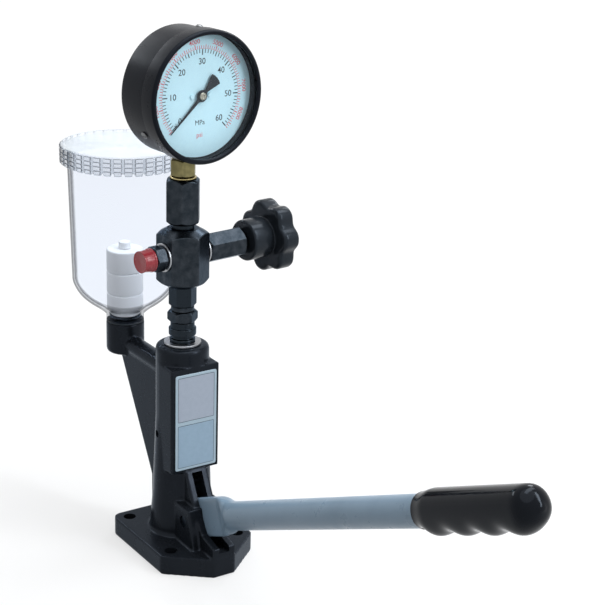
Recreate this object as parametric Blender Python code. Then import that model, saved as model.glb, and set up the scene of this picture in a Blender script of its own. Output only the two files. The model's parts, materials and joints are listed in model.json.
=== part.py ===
# Hand-pumped diesel injector tester: a cast stand with a plunger pump worked by a long lever,
# an oil cup behind it, and a hexagonal manifold that carries the pressure gauge, the outlet
# and the shut-off valve. Metres, +Z up. The origin is the pump axis at the underside of the
# base plate, the lever points along +X and the shut-off valve along +Y.

import math

import bmesh
import bpy
from mathutils import Matrix, Vector

MM = 0.001
DEGREE = math.pi / 180.0

# Play and overruns shared by every piece
GAP = 0.3 * MM            # left between two faces that rest on each other
FIT = 0.08 * MM           # radial play of a shaft, a thread or a plug in its hole
OVERRUN = 4.0 * MM        # how far a cutter runs past the face it opens
SINK = 1.0 * MM           # how far one cast shape starts inside the next

# Facets round a circle
FINE = 36
MIDDLE = 24
COARSE = 18
SMALL = 10

# Base plate of the casting
PLATE_HEIGHT = 16.6 * MM
PLATE_REAR = 45.5 * MM
PLATE_SHOULDER = 43.5 * MM
PLATE_NOSE = 71.9 * MM
PLATE_HALF_WIDTH = 43.8 * MM
NOSE_HALF_WIDTH = 9.4 * MM
PLATE_CORNER = 9.0 * MM
PLATE_BEVEL = 1.4 * MM
BOLT_HOLE_RADIUS = 5.3 * MM
BOLT_REAR = 34.2 * MM
BOLT_FRONT = 38.5 * MM
BOLT_SIDE = 32.1 * MM

# Column of the casting, with the flat pad for the plate on its front
COLUMN_HEIGHT = 182.4 * MM
COLUMN_FOOT_RADIUS = 27.4 * MM
COLUMN_LOW_RADIUS = 24.4 * MM
COLUMN_LOW_HEIGHT = 52.0 * MM
COLUMN_TOP_RADIUS = 22.2 * MM
COLUMN_TOP_ROUND = 4.0 * MM
PAD_FRONT = 22.5 * MM
PAD_HALF_WIDTH = 22.4 * MM
PAD_BOTTOM = 76.0 * MM
PAD_TOP = 168.4 * MM
PAD_BEVEL = 1.2 * MM
LABEL_HALF_WIDTH = 19.3 * MM
LABEL_HEIGHT = 84.6 * MM
LABEL_THICKNESS = 0.7 * MM
LABEL_CORNER = 2.0 * MM
LABEL_RAISE = 3.0 * MM

# Bores of the casting: a wide one for tappet and spring, a narrower one for the pump barrel
SPRING_BORE_RADIUS = 14.0 * MM
SPRING_BORE_BOTTOM = 30.0 * MM
SPRING_BORE_TOP = 97.0 * MM
BARREL_RADIUS = 11.0 * MM
LOCK_SCREW_HEIGHT = 104.5 * MM
LOCK_SCREW_RADIUS = 3.0 * MM
LOCK_SCREW_ANGLE = -97.0 * DEGREE

# Lever fork at the front of the casting
SLOT_HALF_WIDTH = 4.8 * MM
CHEEK_THICKNESS = 5.5 * MM
CHEEK_TOP = 82.0 * MM
SLOT_TOP = 75.6 * MM
NOSE_TOP = 26.0 * MM
NOSE_FLOOR = 21.0 * MM
NOSE_WALL = 9.0 * MM
SHOULDER_HALF_WIDTH = 17.6 * MM
SHOULDER_REAR = 16.0 * MM
SHOULDER_FRONT = 42.0 * MM
SHOULDER_TOP = 49.6 * MM
SHOULDER_TOE = 8.0 * MM
FORK_BEVEL = 0.8 * MM

# Front edge of each cheek, from the pad down to the nose, as places along X and Z
CHEEK_EDGE_X = (24.4 * MM, 35.7 * MM, 51.3 * MM, 68.5 * MM)
CHEEK_EDGE_Z = (77.0 * MM, 55.2 * MM, 30.4 * MM, NOSE_TOP)

# Arm, web and boss that carry the oil cup
CUP_AXIS_X = -101.5 * MM
BOSS_RADIUS = 16.6 * MM
BOSS_TOP = 170.6 * MM
BOSS_BOTTOM = 142.6 * MM
BOSS_ROUND = 3.5 * MM
ARM_RADIUS = 9.0 * MM
ARM_HEIGHT = 152.4 * MM
ARM_SHARE = 0.82          # the arm is a little less deep than it is wide
WEB_HALF_WIDTH = 6.0 * MM
WEB_HEEL_X = -43.0 * MM
WEB_HEEL_HEIGHT = 48.0 * MM
WEB_TIP_X = -99.0 * MM
OIL_WAY_RADIUS = 2.0 * MM
NIPPLE_RADIUS = 7.6 * MM
NIPPLE_DEPTH = 14.0 * MM

# Lever: a tube whose end is pressed flat, pivoted in the fork
LEVER_TILT = 24.2 * DEGREE
PIVOT_X = 33.0 * MM
PIVOT_Z = 37.15 * MM
LEVER_TUBE_RADIUS = 11.8 * MM
LEVER_TUBE_WALL = 2.2 * MM
LEVER_FLAT_HALF_HEIGHT = 16.2 * MM
LEVER_FLAT_HALF_WIDTH = 4.5 * MM
LEVER_FLAT_END = 38.0 * MM
LEVER_ROUND_START = 64.0 * MM
LEVER_LENGTH = 412.0 * MM
TAIL_REACH = 33.0 * MM
TAIL_NOSE_RADIUS = 9.0 * MM
TAIL_WAIST = 6.8 * MM
TAIL_WAIST_START = 26.0 * MM
TAIL_WAIST_END = 20.0 * MM
TAIL_SHOULDER = 7.0 * MM
PIN_RADIUS = 5.0 * MM
PIN_RECESS = 1.0 * MM

# Grip dipped over the lever's end, with four finger rests underneath
GRIP_START = 326.0 * MM
GRIP_LENGTH = 121.0 * MM
GRIP_TOP = 15.4 * MM
GRIP_BOTTOM = 14.3 * MM
GRIP_HALF_WIDTH = 14.6 * MM
GRIP_FINGER = 2.4 * MM
GRIP_FINGERS = 4
GRIP_SWELL_SHARE = 0.12
GRIP_FINGER_START_SHARE = 0.02
GRIP_FINGER_END_SHARE = 0.97
GRIP_LIP_SHARE = 0.88

# Pump: tappet, spring, plunger and barrel
TAPPET_BUTTON_RADIUS = 6.0 * MM
TAPPET_BUTTON_HEIGHT = 12.4 * MM
TAPPET_HEIGHT = 12.5 * MM
TAPPET_PLAY = 0.25 * MM
PLUNGER_RADIUS = 4.0 * MM
PLUNGER_TOP = 148.0 * MM
PLUNGER_FOOT_RADIUS = 6.4 * MM
PLUNGER_FOOT_HEIGHT = 2.5 * MM
SPRING_WIRE_RADIUS = 1.3 * MM
SPRING_RADIUS = 10.4 * MM
SPRING_TURNS = 7.0
SPRING_STEPS = 10
SEAT_THICKNESS = 2.0 * MM
SEAT_RADIUS = 13.2 * MM
BARREL_SOCKET_RADIUS = 7.0 * MM
BARREL_FLANGE_RADIUS = 15.4 * MM
BARREL_FLANGE_HEIGHT = 2.0 * MM
FEED_PORT_RADIUS = 1.5 * MM

# Outlet valve holder, union nut and their passage, upwards from the barrel's flange
HOLDER_FLANGE_RADIUS = 10.6 * MM
HOLDER_FLANGE_HEIGHT = 2.4 * MM
HOLDER_NECK_RADIUS = 8.8 * MM
HOLDER_NECK_HEIGHT = 3.2 * MM
HOLDER_COLLAR_RADIUS = 11.4 * MM
HOLDER_COLLAR_HEIGHT = 6.0 * MM
HOLDER_UPPER_RADIUS = 10.0 * MM
HOLDER_UPPER_HEIGHT = 5.4 * MM
HOLDER_EDGE = 0.9 * MM
HOLDER_SPIGOT_RADIUS = 6.8 * MM
HOLDER_SPIGOT_HEIGHT = 4.2 * MM
HOLDER_TAIL = 14.0 * MM
VALVE_CHAMBER_RADIUS = 5.5 * MM
VALVE_CHAMBER_HEIGHT = 24.0 * MM
PASSAGE_RADIUS = 1.6 * MM
NUT_FLATS = 22.0 * MM
NUT_HEIGHT = 9.2 * MM
NUT_CHAMFER = 1.6 * MM
VALVE_HEAD_RADIUS = 5.0 * MM
VALVE_HEAD_HEIGHT = 3.0 * MM
VALVE_STEM_RADIUS = 1.2 * MM
VALVE_STEM_HEIGHT = 4.0 * MM
VALVE_SPRING_WIRE = 0.5 * MM
VALVE_SPRING_RADIUS = 3.4 * MM
VALVE_SPRING_TURNS = 5.0

# Head: everything above the union nut is turned a little about the pump axis
HEAD_TURN = 6.5 * DEGREE
STEM_NECK_RADIUS = 9.6 * MM
STEM_NECK_HEIGHT = 4.0 * MM
STEM_FLATS = 20.0 * MM
STEM_HEIGHT = 17.2 * MM
STEM_CHAMFER = 1.0 * MM
STEM_SPIGOT_RADIUS = 6.8 * MM
STEM_SPIGOT_HEIGHT = 4.2 * MM
BLOCK_FLATS = 37.8 * MM
BLOCK_HEIGHT = 48.6 * MM
BLOCK_CHAMFER = 5.2 * MM
BLOCK_ROUND_RADIUS = 13.0 * MM
CROSS_RISE = 26.8 * MM    # the cross bore's height above the block's lower face
CROSS_BORE_RADIUS = 7.5 * MM
GALLERY_RADIUS = 2.0 * MM
NEEDLE_SEAT_RADIUS = 3.2 * MM

# Gauge adaptor between the manifold and the gauge's brass stem
ADAPTOR_NECK_RADIUS = 9.4 * MM
ADAPTOR_NECK_HEIGHT = 4.0 * MM
ADAPTOR_SPIGOT_RADIUS = 6.5 * MM
ADAPTOR_SPIGOT_HEIGHT = 10.0 * MM
ADAPTOR_FLATS = 26.0 * MM
ADAPTOR_HEIGHT = 37.0 * MM
ADAPTOR_CHAMFER = 2.4 * MM
ADAPTOR_TURN = 20.0 * DEGREE
ADAPTOR_SOCKET_RADIUS = 7.2 * MM
ADAPTOR_SOCKET_DEPTH = 16.0 * MM
GAUGE_WASHER_RADIUS = 10.8 * MM
GAUGE_WASHER_THICKNESS = 1.6 * MM

# Cross fittings: outlet on the -Y side, shut-off valve on the +Y side of the turned head
WASHER_RADIUS = 11.8 * MM
WASHER_THICKNESS = 1.5 * MM
OUTLET_SPIGOT_LENGTH = 11.0 * MM
OUTLET_SPIGOT_RADIUS = 7.2 * MM
OUTLET_HEX_FLATS = 19.0 * MM
OUTLET_HEX_LENGTH = 10.0 * MM
OUTLET_HEX_CHAMFER = 0.9 * MM
OUTLET_NECK_RADIUS = 7.0 * MM
OUTLET_NECK_LENGTH = 7.0 * MM
CAP_WIDE_RADIUS = 9.8 * MM
CAP_TIP_RADIUS = 9.0 * MM
CAP_LENGTH = 11.0 * MM
CAP_LIP = 1.6 * MM
VALVE_HEX_FLATS = 22.4 * MM
VALVE_HEX_LENGTH = 37.0 * MM
VALVE_HEX_CHAMFER = 1.4 * MM
VALVE_HEX_TURN = 35.0 * DEGREE
VALVE_BORE_RADIUS = 6.0 * MM
VALVE_SPIGOT_LENGTH = 11.0 * MM
GLAND_RADIUS = 8.6 * MM
GLAND_LENGTH = 3.2 * MM
GLAND_TAIL = 8.0 * MM
SPINDLE_RADIUS = 3.5 * MM
SPINDLE_HEAD_RADIUS = 5.4 * MM
SPINDLE_HEAD_LENGTH = 6.0 * MM
NEEDLE_RADIUS = 2.6 * MM
NEEDLE_TIP_RADIUS = 0.6 * MM
NEEDLE_TIP_LENGTH = 5.0 * MM
NEEDLE_LIFT = 1.5 * MM

# Hand knob: a round collar that carries a seven-lobed star
KNOB_LOBES = 7
KNOB_STEPS = 6
KNOB_RADIUS = 30.9 * MM
KNOB_LOBE_DEPTH = 4.2 * MM
KNOB_PHASE = -4.2 * DEGREE
KNOB_COLLAR_RADIUS = 17.4 * MM
KNOB_COLLAR_LENGTH = 19.7 * MM
KNOB_NECK_RADIUS = 16.9 * MM
KNOB_NECK_LENGTH = 1.0 * MM
KNOB_DISC_THICKNESS = 16.1 * MM
KNOB_EDGE = 2.6 * MM
KNOB_SCREW_RADIUS = 4.6 * MM
KNOB_SCREW_HEAD = 2.6 * MM

# Pressure gauge, turned about an axis along the head's +X
GAUGE_HEIGHT = 393.3 * MM
CASE_RADIUS = 51.0 * MM
CASE_WALL = 1.6 * MM
CASE_REAR_X = -12.5 * MM
CASE_FRONT_X = 27.1 * MM
CASE_ROUND = 2.5 * MM
BEZEL_RADIUS = 52.6 * MM
BEZEL_LIP_RADIUS = 48.4 * MM
BEZEL_SKIRT = 9.0 * MM
BEZEL_FRONT_X = 33.1 * MM
BEZEL_LIP = 2.4 * MM
WINDOW_RADIUS = 50.8 * MM
WINDOW_THICKNESS = 2.4 * MM
DIAL_RADIUS = 48.6 * MM
DIAL_THICKNESS = 0.8 * MM
DIAL_X = 21.5 * MM
DIAL_HOLE_RADIUS = 3.0 * MM
POINTER_X = 23.9 * MM
POINTER_THICKNESS = 0.7 * MM
POINTER_LENGTH = 38.0 * MM
POINTER_TAIL = 18.0 * MM
POINTER_ROOT = 1.7 * MM
POINTER_TIP = 0.4 * MM
POINTER_FAN = 4.6 * MM
POINTER_HUB_RADIUS = 3.6 * MM
POINTER_HUB_HEIGHT = 1.6 * MM
POINTER_ZERO = 220.5 * DEGREE
BRASS_FLATS = 19.0 * MM
BRASS_CHAMFER = 1.0 * MM
BRASS_HEX_HEIGHT = 14.0 * MM
BRASS_NECK_RADIUS = 8.0 * MM
BRASS_SPIGOT_RADIUS = 6.9 * MM
BRASS_SPIGOT_HEIGHT = 12.0 * MM
SOCKET_HALF = 6.5 * MM
MOVEMENT_X = SOCKET_HALF + GAP
SOCKET_TOP_DROP = 26.0 * MM    # below the gauge's centre
TUBE_PATH_RADIUS = 34.0 * MM
TUBE_HALF_DEPTH = 5.0 * MM
TUBE_HALF_HEIGHT = 2.2 * MM
TUBE_SWEEP = 255.0 * DEGREE
TUBE_STEPS = 30
MOVEMENT_PLATE = 1.4 * MM
MOVEMENT_SPACE = 8.0 * MM
MOVEMENT_HALF_WIDTH = 11.0 * MM
MOVEMENT_TOP = 14.0 * MM
PINION_RADIUS = 2.6 * MM
SHAFT_RADIUS = 1.0 * MM
SECTOR_RADIUS = 15.0 * MM
SECTOR_HALF_ANGLE = 32.0 * DEGREE
SECTOR_THICKNESS = 1.6 * MM
SECTOR_START = -23.4 * DEGREE
SECTOR_DROP = 17.9 * MM
TONGUE_HALF_WIDTH = 5.0 * MM
TONGUE_REACH = 31.3 * MM
CASE_SCREW_RADIUS = 3.0 * MM
CASE_SCREW_HEAD = 1.6 * MM
CASE_SCREW_SHANK = 1.5 * MM
CASE_SCREW_X = 8.0 * MM
CASE_SCREW_ANGLES = (214.0 * DEGREE, 80.0 * DEGREE, 330.0 * DEGREE)
DIAL_SCREW_RADIUS = 1.8 * MM
DIAL_SCREW_HEAD = 0.8 * MM
DIAL_SCREW_SPREAD = 8.5 * MM

# Oil cup: a clear turned cup with a knurled lid, a filter stack and a hollow nipple
CUP_SEAT_RADIUS = 16.4 * MM
CUP_SEAT_HEIGHT = 5.4 * MM
CUP_WALL = 2.2 * MM
CUP_LOW_RADIUS = 45.4 * MM
CUP_LOW_HEIGHT = 38.5 * MM
CUP_TOP_RADIUS = 48.4 * MM
CUP_HEIGHT = 154.5 * MM
CUP_CONE_SHARES = ((0.25, 0.19), (0.56, 0.39), (0.80, 0.60), (0.95, 0.83))
GASKET_THICKNESS = 1.4 * MM
LID_RADIUS = 54.5 * MM
LID_SKIRT_HEIGHT = 16.0 * MM
LID_TOP = 2.2 * MM
LID_PLAY = 0.6 * MM
LID_EDGE = 1.2 * MM
NIPPLE_FLANGE_RADIUS = 13.6 * MM
NIPPLE_FLANGE_HEIGHT = 2.0 * MM
NIPPLE_BORE_RADIUS = 4.0 * MM
NIPPLE_RISE = 8.0 * MM
FILTER_RADIUS = 15.8 * MM
FILTER_HEIGHT = 59.0 * MM
FILTER_WALL = 4.0 * MM
FILTER_FOOT_RADIUS = 13.0 * MM
FILTER_FOOT_HEIGHT = 5.2 * MM
FILTER_SECTIONS = 3
FILTER_GROOVE = 1.6 * MM
FILTER_GROOVE_DEPTH = 1.0 * MM
FILTER_CAP_RADIUS = 5.2 * MM
FILTER_CAP_HEIGHT = 6.0 * MM
FILTER_CAP_PLUG = 4.0 * MM
FILTER_CAP_PLUG_RADIUS = 4.0 * MM

# Heights that follow from the sizes above
FLANGE_BOTTOM = COLUMN_HEIGHT + GAP
FLANGE_TOP = FLANGE_BOTTOM + BARREL_FLANGE_HEIGHT
HOLDER_BOTTOM = FLANGE_TOP + GAP
HOLDER_NECK_TOP = HOLDER_BOTTOM + HOLDER_FLANGE_HEIGHT + HOLDER_NECK_HEIGHT
HOLDER_COLLAR_TOP = HOLDER_NECK_TOP + HOLDER_COLLAR_HEIGHT
HOLDER_TOP = HOLDER_COLLAR_TOP + HOLDER_UPPER_HEIGHT
NUT_BOTTOM = HOLDER_TOP + GAP
NUT_TOP = NUT_BOTTOM + NUT_HEIGHT
STEM_BOTTOM = NUT_TOP + GAP
STEM_HEX_BOTTOM = STEM_BOTTOM + STEM_NECK_HEIGHT
BLOCK_BOTTOM = STEM_HEX_BOTTOM + STEM_HEIGHT
BLOCK_TOP = BLOCK_BOTTOM + BLOCK_HEIGHT
CROSS_HEIGHT = BLOCK_BOTTOM + CROSS_RISE
ADAPTOR_BOTTOM = BLOCK_TOP + GAP
ADAPTOR_HEX_BOTTOM = ADAPTOR_BOTTOM + ADAPTOR_NECK_HEIGHT
ADAPTOR_TOP = ADAPTOR_HEX_BOTTOM + ADAPTOR_HEIGHT
WASHER_BOTTOM = ADAPTOR_TOP + GAP
BRASS_BOTTOM = WASHER_BOTTOM + GAUGE_WASHER_THICKNESS + GAP
CUP_BOTTOM = BOSS_TOP + GAP + GASKET_THICKNESS + GAP
CUP_FLOOR = CUP_BOTTOM + CUP_WALL
FILTER_BOTTOM = CUP_FLOOR + GAP + NIPPLE_FLANGE_HEIGHT + GAP
BLOCK_FACE = BLOCK_FLATS / 2.0
TAIL_Z = PIVOT_Z - TAIL_REACH * math.sin(LEVER_TILT)
SLOT_FLOOR = TAIL_Z - TAIL_NOSE_RADIUS - GAP
TAPPET_BOTTOM = TAIL_Z + TAIL_NOSE_RADIUS + GAP
TAPPET_SHOULDER = TAPPET_BOTTOM + TAPPET_BUTTON_HEIGHT
TAPPET_TOP = TAPPET_SHOULDER + TAPPET_HEIGHT
BARREL_BOTTOM = SPRING_BORE_TOP - SINK
SEAT_TOP = BARREL_BOTTOM - GAP
SEAT_BOTTOM = SEAT_TOP - SEAT_THICKNESS


def clear_scene():
    for item in list(bpy.data.objects):
        bpy.data.objects.remove(item)


def material(name, colour, roughness, metallic=0.0, alpha=1.0):
    made = bpy.data.materials.new(name)
    made.use_nodes = True
    shader = made.node_tree.nodes["Principled BSDF"]
    shader.inputs["Base Color"].default_value = (*colour, 1.0)
    shader.inputs["Roughness"].default_value = roughness
    shader.inputs["Metallic"].default_value = metallic
    shader.inputs["Alpha"].default_value = alpha
    made.diffuse_color = (*colour, alpha)
    return made


def frame(name, place=(0.0, 0.0, 0.0), turn=(0.0, 0.0, 0.0), parent=None):
    """An empty that carries pieces."""
    made = bpy.data.objects.new(name, None)
    bpy.context.scene.collection.objects.link(made)
    made.location = place
    made.rotation_euler = turn
    made.parent = parent
    return made


def piece(name, bm, finish, parent=None, place=(0.0, 0.0, 0.0), turn=(0.0, 0.0, 0.0)):
    """Turns a bmesh into a named, smooth-shaded object with one material."""
    bmesh.ops.recalc_face_normals(bm, faces=bm.faces[:])
    mesh = bpy.data.meshes.new(name)
    bm.to_mesh(mesh)
    bm.free()
    mesh.shade_smooth()
    mesh.set_sharp_from_angle(angle=math.radians(35.0))
    if finish is not None:
        mesh.materials.append(finish)
    made = bpy.data.objects.new(name, mesh)
    bpy.context.scene.collection.objects.link(made)
    made.location = place
    made.rotation_euler = turn
    made.parent = parent
    return made


def guide(made):
    """A cutter or a shape that only feeds a Boolean."""
    made.hide_render = True
    made.display_type = "WIRE"
    return made


def combine(target, tool, operation):
    guide(tool)
    step = target.modifiers.new(tool.name, "BOOLEAN")
    step.operation = operation
    step.object = tool
    step.solver = "EXACT"


def add(target, *tools):
    for tool in tools:
        combine(target, tool, "UNION")


def cut(target, *tools):
    for tool in tools:
        combine(target, tool, "DIFFERENCE")


def bevelled(made, width, segments=1, angle=40.0):
    step = made.modifiers.new("edge", "BEVEL")
    step.width = width
    step.segments = segments
    step.limit_method = "ANGLE"
    step.angle_limit = math.radians(angle)
    step.use_clamp_overlap = True
    return made


# Rings: a turned or lofted solid is a stack of rings with the same number of points

def circle(radius, height, count):
    step = 2.0 * math.pi / count
    return [
        Vector((radius * math.cos(i * step), radius * math.sin(i * step), height))
        for i in range(count)
    ]


def hexagon_reach(flats, angle):
    """Distance from the axis to the side of a hexagon with corners at 0 and every 60 degrees."""
    sixth = math.pi / 3.0
    inside = (angle % sixth) - sixth / 2.0
    return flats / 2.0 / math.cos(inside)


def hexagon(flats, height, count, chamfer=0.0, face=None, up=True):
    """A hexagonal ring; with a chamfer its corners fall away as a turned cone leaves them."""
    step = 2.0 * math.pi / count
    corner = flats / 2.0 / math.cos(math.pi / 6.0)
    inner = flats / 2.0 if face is None else face
    points = []
    for i in range(count):
        reach = hexagon_reach(flats, i * step)
        drop = chamfer * max(0.0, reach - inner) / (corner - inner)
        level = height - drop if up else height + drop
        points.append(Vector((reach * math.cos(i * step), reach * math.sin(i * step), level)))
    return points


def ring_mesh(rings, through=False):
    """Skins a stack of rings. With through the last ring closes onto the first, for a bored piece."""
    bm = bmesh.new()
    layers = [[bm.verts.new(point) for point in ring] for ring in rings]
    pairs = list(zip(layers, layers[1:]))
    if through:
        pairs.append((layers[-1], layers[0]))
    for low, high in pairs:
        count = len(low)
        for i in range(count):
            j = (i + 1) % count
            bm.faces.new((low[i], low[j], high[j], high[i]))
    if not through:
        bm.faces.new(list(reversed(layers[0])))
        bm.faces.new(layers[-1])
    return bm


def turned_mesh(profile, count, through=False):
    """Spins a profile of (radius, height) points about Z."""
    return ring_mesh([circle(radius, height, count) for radius, height in profile], through)


def turned(name, profile, count, finish, through=False, **where):
    return piece(name, turned_mesh(profile, count, through), finish, **where)


def bore_mesh(radius, low, high, count):
    """A plain round cutter along Z."""
    return turned_mesh([(radius, low), (radius, high)], count)


def tube_profile(outer, inner, low, high):
    return [(inner, low), (outer, low), (outer, high), (inner, high)]


def block(name, low, high, finish=None, **where):
    bm = bmesh.new()
    bmesh.ops.create_cube(bm, size=1.0)
    for vert in bm.verts:
        for i in range(3):
            vert.co[i] = low[i] if vert.co[i] < 0.0 else high[i]
    return piece(name, bm, finish, **where)


def prism_mesh(outline, low, high):
    """Extrudes a flat outline of (x, y) points from one height to another."""
    bm = bmesh.new()
    base = [bm.verts.new((x, y, low)) for x, y in outline]
    face = bm.faces.new(base)
    raised = bmesh.ops.extrude_face_region(bm, geom=[face])
    verts = [item for item in raised["geom"] if isinstance(item, bmesh.types.BMVert)]
    bmesh.ops.translate(bm, verts=verts, vec=(0.0, 0.0, high - low))
    return bm


def upright_prism(name, outline, half_width, offset=0.0, finish=None, **where):
    """Extrudes an outline of (x, z) points along Y, both ways from the given offset."""
    bm = prism_mesh(outline, -half_width, half_width)
    bmesh.ops.transform(bm, matrix=Matrix.Rotation(math.pi / 2.0, 4, "X"), verts=bm.verts[:])
    bmesh.ops.translate(bm, verts=bm.verts[:], vec=(0.0, offset, 0.0))
    return piece(name, bm, finish, **where)


def arc(centre, radius, start, end, steps):
    """Points on an arc, angles in radians."""
    return [
        (
            centre[0] + radius * math.cos(start + (end - start) * i / steps),
            centre[1] + radius * math.sin(start + (end - start) * i / steps),
        )
        for i in range(steps + 1)
    ]


def rounded_rectangle(half_width, half_height, corner, steps=3):
    quarter = math.pi / 2.0
    points = []
    for i, (sx, sy) in enumerate(((1, 1), (-1, 1), (-1, -1), (1, -1))):
        centre = (sx * (half_width - corner), sy * (half_height - corner))
        points += arc(centre, corner, i * quarter, (i + 1) * quarter, steps)
    return points


def rounded_end(radius, height, round_radius, steps, up=True):
    """Profile points of a turned edge that is rounded towards its end face."""
    points = []
    for i in range(steps + 1):
        angle = math.pi / 2.0 * i / steps
        reach = radius - round_radius + round_radius * math.cos(angle)
        level = round_radius - round_radius * math.sin(angle)
        points.append((reach, height - level if up else height + level))
    return points if up else list(reversed(points))


def smooth_share(value):
    """Eases 0 to 1."""
    value = min(1.0, max(0.0, value))
    return value * value * (3.0 - 2.0 * value)


def spring_mesh(radius, wire, low, high, turns, steps, sides):
    """A round-wire compression spring whose end turns lie close, as one tube."""
    total = int(turns * steps)
    rings = []
    for i in range(total + 1):
        share = i / total
        angle = 2.0 * math.pi * turns * share
        level = low + wire + (high - low - 2.0 * wire) * share
        centre = Vector((radius * math.cos(angle), radius * math.sin(angle), level))
        outward = Vector((math.cos(angle), math.sin(angle), 0.0))
        ring = []
        for k in range(sides):
            turn = 2.0 * math.pi * k / sides
            rise = Vector((0.0, 0.0, wire * math.sin(turn)))
            ring.append(centre + outward * (wire * math.cos(turn)) + rise)
        rings.append(ring)
    return ring_mesh(rings)


def make_finishes():
    return {
        "casting": material("casting_enamel", (0.012, 0.013, 0.016), 0.28),
        "label": material("label_film", (0.47, 0.52, 0.56), 0.45),
        "steel": material("bright_steel", (0.62, 0.63, 0.65), 0.3, 1.0),
        "blackened": material("blackened_steel", (0.055, 0.065, 0.075), 0.38, 0.9),
        "spring": material("spring_steel", (0.35, 0.35, 0.36), 0.35, 1.0),
        "brass": material("dull_brass", (0.45, 0.32, 0.12), 0.38, 1.0),
        "copper": material("copper", (0.55, 0.28, 0.16), 0.35, 1.0),
        "plastic": material("black_plastic", (0.014, 0.014, 0.017), 0.2),
        "case": material("gauge_enamel", (0.014, 0.015, 0.018), 0.35),
        "glass": material("window_glass", (0.92, 0.96, 0.98), 0.03, 0.0, 0.25),
        "clear": material("clear_plastic", (0.85, 0.9, 0.94), 0.08, 0.0, 0.35),
        "dial": material("dial_paint", (0.66, 0.84, 0.86), 0.5),
        "pointer": material("pointer_paint", (0.02, 0.02, 0.02), 0.4),
        "cap": material("red_plastic", (0.55, 0.05, 0.06), 0.3),
        "white": material("filter_plastic", (0.85, 0.87, 0.88), 0.5),
        "lever": material("lever_paint", (0.36, 0.42, 0.45), 0.42),
        "grip": material("grip_vinyl", (0.012, 0.012, 0.014), 0.16),
        "rubber": material("gasket_rubber", (0.05, 0.07, 0.09), 0.6),
    }


def plate_outline():
    corner_x = -PLATE_REAR + PLATE_CORNER
    corner_y = PLATE_HALF_WIDTH - PLATE_CORNER
    quarter = math.pi / 2.0
    points = arc((corner_x, -corner_y), PLATE_CORNER, 2.0 * quarter, 3.0 * quarter, 5)
    points += [(PLATE_SHOULDER, -PLATE_HALF_WIDTH), (PLATE_NOSE, -NOSE_HALF_WIDTH)]
    points += [(PLATE_NOSE, NOSE_HALF_WIDTH), (PLATE_SHOULDER, PLATE_HALF_WIDTH)]
    points += arc((corner_x, corner_y), PLATE_CORNER, quarter, 2.0 * quarter, 5)
    return points


def casting_plate(finish):
    made = piece("base_casting", prism_mesh(plate_outline(), 0.0, PLATE_HEIGHT), finish)
    return bevelled(made, PLATE_BEVEL)


def casting_column():
    profile = [(COLUMN_FOOT_RADIUS, PLATE_HEIGHT - SINK), (COLUMN_LOW_RADIUS, COLUMN_LOW_HEIGHT)]
    profile += rounded_end(COLUMN_TOP_RADIUS, COLUMN_HEIGHT, COLUMN_TOP_ROUND, 4)
    return turned("column_shape", profile, FINE, None)


def casting_pad():
    made = block("pad_shape", (0.0, -PAD_HALF_WIDTH, PAD_BOTTOM), (PAD_FRONT, PAD_HALF_WIDTH, PAD_TOP))
    return bevelled(made, PAD_BEVEL)


def casting_pad_face():
    """Planes the column back to the pad's face."""
    reach = PAD_HALF_WIDTH + OVERRUN
    return block("pad_face_cut", (PAD_FRONT, -reach, PAD_BOTTOM), (PAD_FRONT + OVERRUN, reach, PAD_TOP))


def casting_cheeks():
    """Both cheeks as one rib; the lever slot parts them."""
    nose = PLATE_NOSE - FORK_BEVEL
    outline = [(0.0, PLATE_HEIGHT - SINK), (nose, PLATE_HEIGHT - SINK), (nose, NOSE_TOP - FORK_BEVEL)]
    outline += list(reversed(list(zip(CHEEK_EDGE_X, CHEEK_EDGE_Z))))
    outline += [(CHEEK_EDGE_X[0] - (CHEEK_TOP - CHEEK_EDGE_Z[0]) / 2.0, CHEEK_TOP), (0.0, CHEEK_TOP)]
    made = upright_prism("cheek_shape", outline, SLOT_HALF_WIDTH + CHEEK_THICKNESS)
    return bevelled(made, FORK_BEVEL)


def casting_shoulders():
    outline = [
        (SHOULDER_REAR, PLATE_HEIGHT - SINK),
        (SHOULDER_FRONT + SHOULDER_TOE, PLATE_HEIGHT - SINK),
        (SHOULDER_FRONT, SHOULDER_TOP),
        (SHOULDER_REAR, SHOULDER_TOP),
    ]
    return bevelled(upright_prism("shoulder_shape", outline, SHOULDER_HALF_WIDTH), FORK_BEVEL)


def casting_arm():
    """Arm of oval section from the column to the boss."""
    length = -CUP_AXIS_X
    rings = []
    for along in (0.0, length):
        ring = circle(ARM_RADIUS, along, COARSE)
        rings.append([Vector((point.x * ARM_SHARE, point.y, point.z)) for point in ring])
    where = {"place": (0.0, 0.0, ARM_HEIGHT), "turn": (0.0, -math.pi / 2.0, 0.0)}
    return piece("arm_shape", ring_mesh(rings), None, **where)


def casting_web():
    outline = [
        (0.0, PLATE_HEIGHT - SINK),
        (0.0, ARM_HEIGHT),
        (CUP_AXIS_X + BOSS_RADIUS / 2.0, ARM_HEIGHT),
        (WEB_TIP_X, BOSS_BOTTOM - SINK),
        (WEB_HEEL_X, WEB_HEEL_HEIGHT),
        (WEB_HEEL_X, PLATE_HEIGHT - SINK),
    ]
    return bevelled(upright_prism("web_shape", outline, WEB_HALF_WIDTH), FORK_BEVEL)


def casting_boss():
    profile = rounded_end(BOSS_RADIUS, BOSS_BOTTOM, BOSS_ROUND, 3, up=False)
    profile += [(BOSS_RADIUS, BOSS_TOP)]
    return turned("boss_shape", profile, COARSE, None, place=(CUP_AXIS_X, 0.0, 0.0))


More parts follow.
